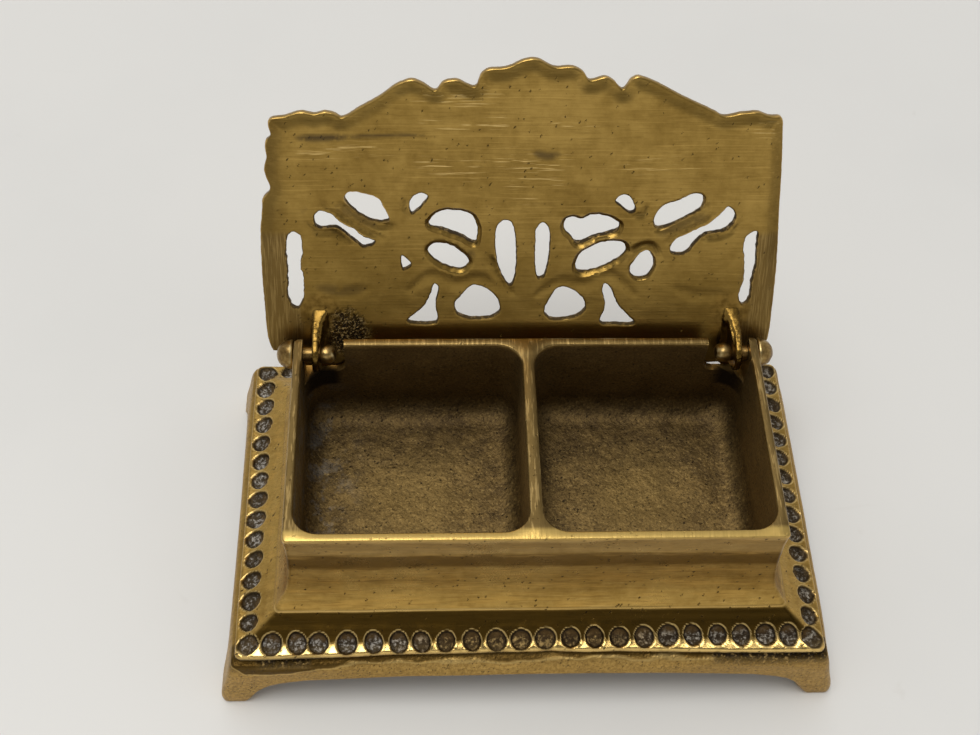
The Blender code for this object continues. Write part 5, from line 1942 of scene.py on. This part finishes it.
def under_the_nose(w, vector, across, deep, up, foul, colour):
    """Painted shade between nose and fascia, wider at the left, and a painted lit edge below."""
    waver = w.clouds(w.drawn(vector, 0.35), 420.0, 2.0, 0.5, (8, 3, 5))
    widening = w.fade(across, -0.0440, -0.0300, 0.0014, 0.0)
    sill = w.plus(
        up, w.times(w.centred(waver), 0.0018),
        w.times(w.fade(across, -0.0490, -0.0470), widening),
        w.fade(across, -0.005, 0.020, 0.0, -0.00025),
    )
    front = w.fall(deep, FRONT_WALL - 0.0085, FRONT_WALL - 0.0075)
    below = w.times(front, w.fall(up, 0.01145, 0.01165), w.flip(w.times(foul, 0.85)))
    # Painted shade in the gutter; below it, a painted highlight on the edge.
    gutter = w.times(below, w.fade(sill, 0.01090, 0.01112))
    lit = w.times(below, w.fade(sill, 0.01055, 0.01072), w.fall(sill, 0.01078, 0.01098))
    return w.painted(
        colour, (lit, (0.66, 0.47, 0.18, 1), 0.45), (gutter, (0.066, 0.036, 0.007, 1), 0.86),
    )


def box_colour(w, vector, place, masks, skin, marks, edge):
    """The zones of the casting, laid over each other from the mouldings to the dirt."""
    across, deep, up = place
    inside_skin = effect(
        w, "tarnish", vector, Clean=(0.24, 0.155, 0.052, 1), Aged=(0.115, 0.073, 0.026, 1),
        Dark=(0.040, 0.026, 0.011, 1), Patch_Size=330.0, Grain_Size=2600.0, Age=0.50,
    )
    streaks = w.clouds(w.drawn(vector, 0.12), 900.0, 3.0, 0.6, (0, 6, 1))
    hairs = w.clouds(w.drawn(vector, 0.06), 3200.0, 2.0, 0.6, (0, 2, 7))
    above = w.flip(masks["pocket"])
    # Painted reflection on the walls: a dark band lower down and a light band near the top.
    band_level = w.plus(up, w.times(w.centred(streaks), 0.003))
    painted_dark_band = w.times(w.fade(band_level, 0.0255, 0.0272), w.fall(band_level, 0.0296, 0.0306), above)
    painted_light_band = w.times(w.fade(band_level, 0.0302, 0.0314), above)
    # Painted highlight along the fillet on the front, stronger at the left.
    fillet = w.times(
        w.fade(up, 0.01635, 0.01650), w.fall(up, 0.01662, 0.01677), above,
        w.fade(across, -0.010, 0.010, 0.65, 0.3),
        w.fall(deep, FRONT_WALL - 0.0018, FRONT_WALL - 0.0010),
    )
    patchy = w.fade(w.clouds(vector, 700.0, 3.0, 0.6, (7, 7, 0)), 0.34, 0.50, 0.6, 1.0)
    fleck = w.fade(w.clouds(vector, 1300.0, 2.0, 0.6, (5, 8, 1)), 0.52, 0.60)
    sooted = w.mix(fleck, (0.026, 0.016, 0.005, 1), (0.34, 0.23, 0.09, 1))
    pit = masks["pit"]
    return w.painted(
        skin["Color"],
        (w.fade(streaks, 0.46, 0.68, 0.0, 0.60), (0.52, 0.31, 0.075, 1)),
        (w.fade(hairs, 0.50, 0.66, 0.0, 0.35), (0.20, 0.11, 0.026, 1)),
        (marks["marks"]["Mask"], CLEAN, 0.35),
        # painted reflection bands on the walls
        (painted_dark_band, (0.155, 0.082, 0.010, 1), 0.9),
        (painted_light_band, (0.58, 0.41, 0.17, 1), 0.30),
        # painted shade on the front slope
        (masks["slope"], (0.055, 0.028, 0.003, 1), 0.88),
        # painted highlight on the fillet
        (fillet, (0.62, 0.42, 0.15, 1)),
        (w.times(masks["worn"], patchy), POLISHED, 0.95),
        (masks["pocket"], pocket_colour(w, vector, *place, inside_skin["Color"])),
        (w.fade(masks["cavity"], 0.03, 0.25, 0.0, 0.85), GRIME_AND_SHADE),
        (edge, CLEAN, 0.9),
        (w.fade(masks["burr"], 0.35, 0.8), BARE_RIM, 0.75),
        (pit, pit_dirt(w, vector, across, masks["pit_down"]), 0.95),
        # painted shade on the wall of each pit
        (w.times(pit, w.flip(pit), 3.6), GRIME_AND_SHADE),
        (marks["pores"]["Mask"], GRIME_AND_SHADE, 0.8),
        (masks["rim"], rim_colour(w, deep, marks["rim"]), 0.9),
        # painted shade in the groove under the nose
        (masks["groove"], (0.050, 0.028, 0.006, 1), 0.9),
        (masks["foul"], sooted, 0.9),
        (w.times(masks["foul"], marks["foul"]["Mask"]), GRIME_AND_SHADE),
        # painted shade in the notches
        (masks["notch_shade"], GRIME_AND_SHADE, 0.93),
    )


def box_brass():
    material, w, vector, shader = new_material("box_brass")
    masks = {name: w.attribute(name) for name in (
        "pocket", "rim", "pit", "burr", "foul", "groove", "notch_shade", "cavity", "worn", "slope",
        "pit_down",
    )}
    place = w.add("ShaderNodeSeparateXYZ", vector).outputs[:3]
    across, deep, up = place
    skin = effect(
        w, "tarnish", vector, Clean=(0.42, 0.265, 0.070, 1), Aged=(0.31, 0.185, 0.042, 1),
        Dark=(0.15, 0.080, 0.020, 1), Age=0.42,
    )
    marks = {
        "marks": effect(w, "marks", vector, Stretch=(1, 26, 26), Scale=95.0, Sparseness=0.60),
        "rim": effect(w, "marks", vector, Stretch=(26, 2.2, 1), Scale=85.0, Sparseness=0.52),
        "pores": effect(w, "pores", vector, Scale=1700.0, Amount=0.07),
        "foul": effect(w, "pores", vector, Scale=1600.0, Amount=1.0, Spread=1.6),
        "fine": effect(w, "pores", vector, Scale=2500.0, Amount=0.30),
    }
    edge = w.times(rubbed(w, vector, 0.12, 0.36, 0.08), w.flip(masks["pit"]))
    sandy = w.fall(up, 0.0105, 0.0115)
    grit = w.fade(w.clouds(vector, 2100.0, 2.0, 0.7, (1, 1, 4)), 0.35, 0.65)
    colour = w.painted(
        box_colour(w, vector, place, masks, skin, marks, edge),
        (sandy, (0.60, 0.39, 0.13, 1), 0.40),
        (w.times(sandy, grit), (0.20, 0.115, 0.030, 1), 0.55),
        (w.times(sandy, marks["fine"]["Mask"]), GRIME_AND_SHADE, 0.75),
    )
    colour = under_the_nose(w, vector, across, deep, up, masks["foul"], colour)
    grain = w.clouds(vector, 1900.0, 3.0, 0.65, (2, 2, 2))
    coarse = w.clouds(vector, 800.0, 2.0, 0.6, (4, 0, 2))
    height = w.plus(
        w.times(marks["marks"]["Height"], 0.22), w.times(grain, 0.22),
        w.times(marks["pores"]["Height"], 0.8),
        w.times(masks["pocket"], w.plus(w.times(coarse, 2.2), w.times(grain, 1.6))),
        w.times(sandy, w.plus(w.times(grain, 1.3), marks["fine"]["Height"])),
        w.times(masks["rim"], marks["rim"]["Height"], 0.8),
        w.times(masks["foul"], marks["foul"]["Height"], 2.8),
        w.times(masks["pit"], coarse, 5.0),
    )
    metallic = w.layered(
        1.0, (masks["pocket"], 0.82), (masks["pit"], 0.7), (masks["notch_shade"], 0.85),
        (w.times(masks["foul"], marks["foul"]["Mask"]), 0.8),
    )
    roughness = w.layered(
        w.fade(skin["Tone"], 0.3, 0.7, 0.25, 0.42), (masks["pocket"], 0.55),
        (sandy, 0.42), (masks["rim"], 0.34), (w.times(edge, 0.7), 0.24),
        (masks["worn"], 0.22), (w.times(masks["burr"], 0.8), 0.40), (masks["pit"], 0.62),
        (masks["foul"], 0.6), (masks["notch_shade"], 0.6),
    )
    finish_material(w, shader, colour, metallic, roughness, height)
    return material


# %% [markdown]
# ## Brass of the lid
#
# The underside was scraped and wiped along its length, so its marks run from side to
# side, with a few bright ones. The lower corners were filed up and down, and beside the
# left lug the sand left a black, pitted patch. Painted shade darkens the rolled side edges,
# some hollows, the lugs below the rim and the underside near the hinge and towards the bottom.

# %% Brass of the lid
def lug_colour(w, vector, up):
    """Brown in patches, with painted shade below the rim."""
    tone = w.fade(w.clouds(vector, 700.0, 3.0, 0.6, (3, 3, 3)), 0.35, 0.65)
    return w.mix(
        w.fade(up, 0.0295, 0.0325), (0.10, 0.055, 0.020, 1),
        w.mix(tone, (0.30, 0.180, 0.043, 1), (0.115, 0.062, 0.013, 1)),
    )


def lid_brass():
    material, w, vector, shader = new_material("lid_brass")
    masks = {name: w.attribute(name) for name in (
        "strip", "patch", "cavity", "rolled", "sawn", "hinge_shade", "stain_and_shade", "scratched", "lug",
    )}
    up = w.add("ShaderNodeSeparateXYZ", vector).outputs["Z"]
    skin = effect(
        w, "tarnish", vector, Clean=(0.345, 0.220, 0.056, 1), Aged=(0.27, 0.166, 0.038, 1),
        Dark=(0.145, 0.082, 0.017, 1), Patch_Size=70.0, Age=0.47,
    )
    marks = effect(w, "marks", vector, Stretch=(1, 22, 22), Scale=120.0, Sparseness=0.57)
    brushed = effect(w, "marks", vector, Stretch=(0.5, 40, 40), Scale=75.0, Sparseness=0.57)
    upright = effect(w, "marks", vector, Stretch=(30, 1, 1), Scale=150.0, Sparseness=0.50)
    pores = effect(w, "pores", vector, Scale=2100.0, Amount=0.035)
    rough = effect(w, "pores", vector, Scale=2300.0, Amount=1.0, Spread=1.6)
    hairs = w.clouds(w.drawn(vector, 0.05), 3000.0, 2.0, 0.6, (0, 3, 1))
    filed = w.mix(upright["Mask"], (0.17, 0.108, 0.038, 1), (0.34, 0.23, 0.085, 1))
    edge = rubbed(w, vector, 0.10, 0.36, 0.16)
    off_lug = w.flip(masks["lug"])
    ragged = w.clouds(vector, 900.0, 3.0, 0.7, (6, 6, 2))
    sawn = w.times(masks["sawn"], w.fade(ragged, 0.40, 0.50, 0.35, 1.0))
    blotch = w.clouds(vector, 420.0, 3.0, 0.7, (8, 2, 3))
    stain_and_shade = w.times(masks["stain_and_shade"], w.fade(blotch, 0.30, 0.48))
    pitted = w.times(masks["patch"], rough["Mask"])
    speck = w.fade(w.clouds(vector, 2400.0, 2.0, 0.7, (4, 8, 8)), 0.50, 0.60)
    scorched = w.mix(speck, (0.055, 0.029, 0.006, 1), (0.66, 0.46, 0.19, 1))
    colour = w.painted(
        skin["Color"],
        (brushed["Mask"], (0.47, 0.30, 0.080, 1), 0.38),
        (w.fade(hairs, 0.50, 0.66, 0.0, 0.24), (0.15, 0.085, 0.018, 1)),
        (w.times(marks["Mask"], masks["scratched"]), (0.72, 0.50, 0.19, 1), 0.85),
        (masks["strip"], filed, 0.85),
        # painted shade on the rolled side edges
        (masks["rolled"], (0.085, 0.050, 0.014, 1), 0.55),
        (w.times(w.fade(masks["cavity"], 0.02, 0.16, 0.0, 0.85), off_lug), GRIME_AND_SHADE),
        (w.times(edge, off_lug), CLEAN, 0.8),
        (sawn, (0.040, 0.024, 0.008, 1)),
        # real stains, and painted shade along some hollows
        (stain_and_shade, (0.050, 0.030, 0.009, 1), 0.85),
        (masks["lug"], lug_colour(w, vector, up), 0.8),
        (pores["Mask"], GRIME_AND_SHADE, 0.75),
        # painted shade near the hinge
        (masks["hinge_shade"], (0.050, 0.030, 0.010, 1), 0.5),
        # painted shade, darker towards the bottom of the lid
        (w.fade(up, 0.036, 0.060, 0.42, 0.0), (0.13, 0.076, 0.014, 1)),
        (masks["patch"], scorched, 0.9),
        (pitted, GRIME_AND_SHADE),
    )
    grain = w.clouds(vector, 1700.0, 3.0, 0.65, (2, 2, 2))
    height = w.plus(
        w.times(marks["Height"], 0.25), w.times(brushed["Height"], 0.35),
        w.times(marks["Height"], masks["scratched"], 0.9),
        w.times(masks["strip"], upright["Height"], 1.0), w.times(grain, 0.22),
        w.times(pores["Height"], 0.8), w.times(masks["patch"], rough["Height"], 5.0),
    )
    metallic = w.layered(1.0, (pitted, 0.85), (sawn, 0.8), (w.times(stain_and_shade, 0.6), 0.4))
    roughness = w.layered(
        w.fade(skin["Tone"], 0.3, 0.7, 0.29, 0.44), (masks["strip"], 0.40),
        (masks["lug"], 0.30), (w.times(edge, 0.7), 0.25), (sawn, 0.7), (stain_and_shade, 0.55),
        (pitted, 0.55),
    )
    finish_material(w, shader, colour, metallic, roughness, height)
    return material


# %% [markdown]
# ## Brass of the rivets
#
# The rivets are of another melt: greyer, with smaller patches, and worn bright only on the
# crown of the head and on the dressed end.

# %% Brass of the rivets
def rivet_brass():
    material, w, vector, shader = new_material("rivet_brass")
    skin = effect(
        w, "tarnish", vector, Clean=(0.36, 0.235, 0.080, 1), Aged=(0.19, 0.115, 0.036, 1),
        Dark=(0.07, 0.034, 0.014, 1), Patch_Size=480.0, Grain_Size=2600.0, Age=0.55,
    )
    marks = effect(w, "marks", vector, Stretch=(1, 14, 14), Scale=240.0, Sparseness=0.6)
    colour = w.painted(
        skin["Color"], (rubbed(w, vector, 0.16, 0.4, 0.15), (0.58, 0.46, 0.22, 1), 0.7),
        (w.fade(w.attribute("cavity"), 0.05, 0.3, 0.0, 0.85), GRIME_AND_SHADE),
    )
    grain = w.clouds(vector, 1500.0, 3.0, 0.65)
    height = w.plus(w.times(marks["Height"], 0.3), w.times(grain, 0.7))
    roughness = w.fade(skin["Tone"], 0.3, 0.7, 0.26, 0.45)
    finish_material(w, shader, colour, 1.0, roughness, height, RIVET_BUMP)
    return material


# %% [markdown]
# ## The table
#
# The pale board isn't part of the box. It only catches the shadow and lights the box from
# below, so it has no more than faint blotches, specks and a few fine scratches.

# %% Table
def table_material():
    material, w, vector, shader = new_material("pale_table")
    cloudy = w.fade(w.clouds(vector, 9.0, 4.0, 0.6), 0.42, 0.75)
    speck = w.fade(w.clouds(vector, 90.0, 3.0, 0.6, (4, 1, 0)), 0.70, 0.80)
    turned = w.vector("ADD", vector, w.vector("MULTIPLY", vector, (0.6, -0.5, 0)))
    scratches = effect(w, "marks", turned, Stretch=(1, 30, 1), Scale=14.0, Sparseness=0.70)
    w.put(shader.inputs["Base Color"], w.painted(
        (*TABLE_COLOUR, 1), (cloudy, (0.69, 0.685, 0.665, 1), 0.5),
        (speck, (0.58, 0.55, 0.50, 1), 0.3), (scratches["Mask"], (0.56, 0.54, 0.50, 1), 0.25),
    ))
    shader.inputs["Roughness"].default_value = 0.5
    return material


# %% [markdown]
# ## Dress the pieces
#
# The pits are punched first, since the masks read the skin that the tree leaves. Then every
# piece gets its masks and its material, and edges sharper than the angle stay crisp.

# %% Dress the pieces
SHARP_DRESSED = math.radians(50)
EDGE_REACH = {"box": 0.0005, "lid": 0.0006, "rivet": 0.0008}

box_material, lid_material, rivet_material = box_brass(), lid_brass(), rivet_brass()
cloud = guide_cloud()
run_tree(box, punch_tree(), {
    "Guides": cloud, "Width": PIT_WIDTH, "Length": PIT_LENGTH, "Depth": PIT_DEPTH,
    "Burr": PIT_BURR, "Unevenness": PIT_UNEVENNESS, "Seed": PIT_SEED, "Material": box_material,
})
bpy.data.objects.remove(cloud, do_unlink=True)
box_masks(box.data)
lid_masks(lid.data)
for piece, material, reach in (
    (box, box_material, EDGE_REACH["box"]), (lid, lid_material, EDGE_REACH["lid"]),
    *((rivet, rivet_material, EDGE_REACH["rivet"]) for rivet in rivets.values()),
):
    curvature_masks(piece.data, reach)
    piece.data.materials.clear()
    piece.data.materials.append(material)
    piece.data.shade_smooth()
    piece.data.set_sharp_from_angle(angle=SHARP_DRESSED)
table.data.materials.append(table_material())

# %% [markdown]
# ## Hand over
#
# Each dressed piece rides on its body and takes the place of its plain solid, so it moves
# as the solid does: the lid about the hinge, and the rivets with the box.

# %% Hand over
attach(box, "box")
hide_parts("box_body")
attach(lid, "lid")
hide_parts("lid")
for side, word in ((-1, "left"), (1, "right")):
    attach(rivets[side], "box")
    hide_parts(f"hinge_pin_{word}")
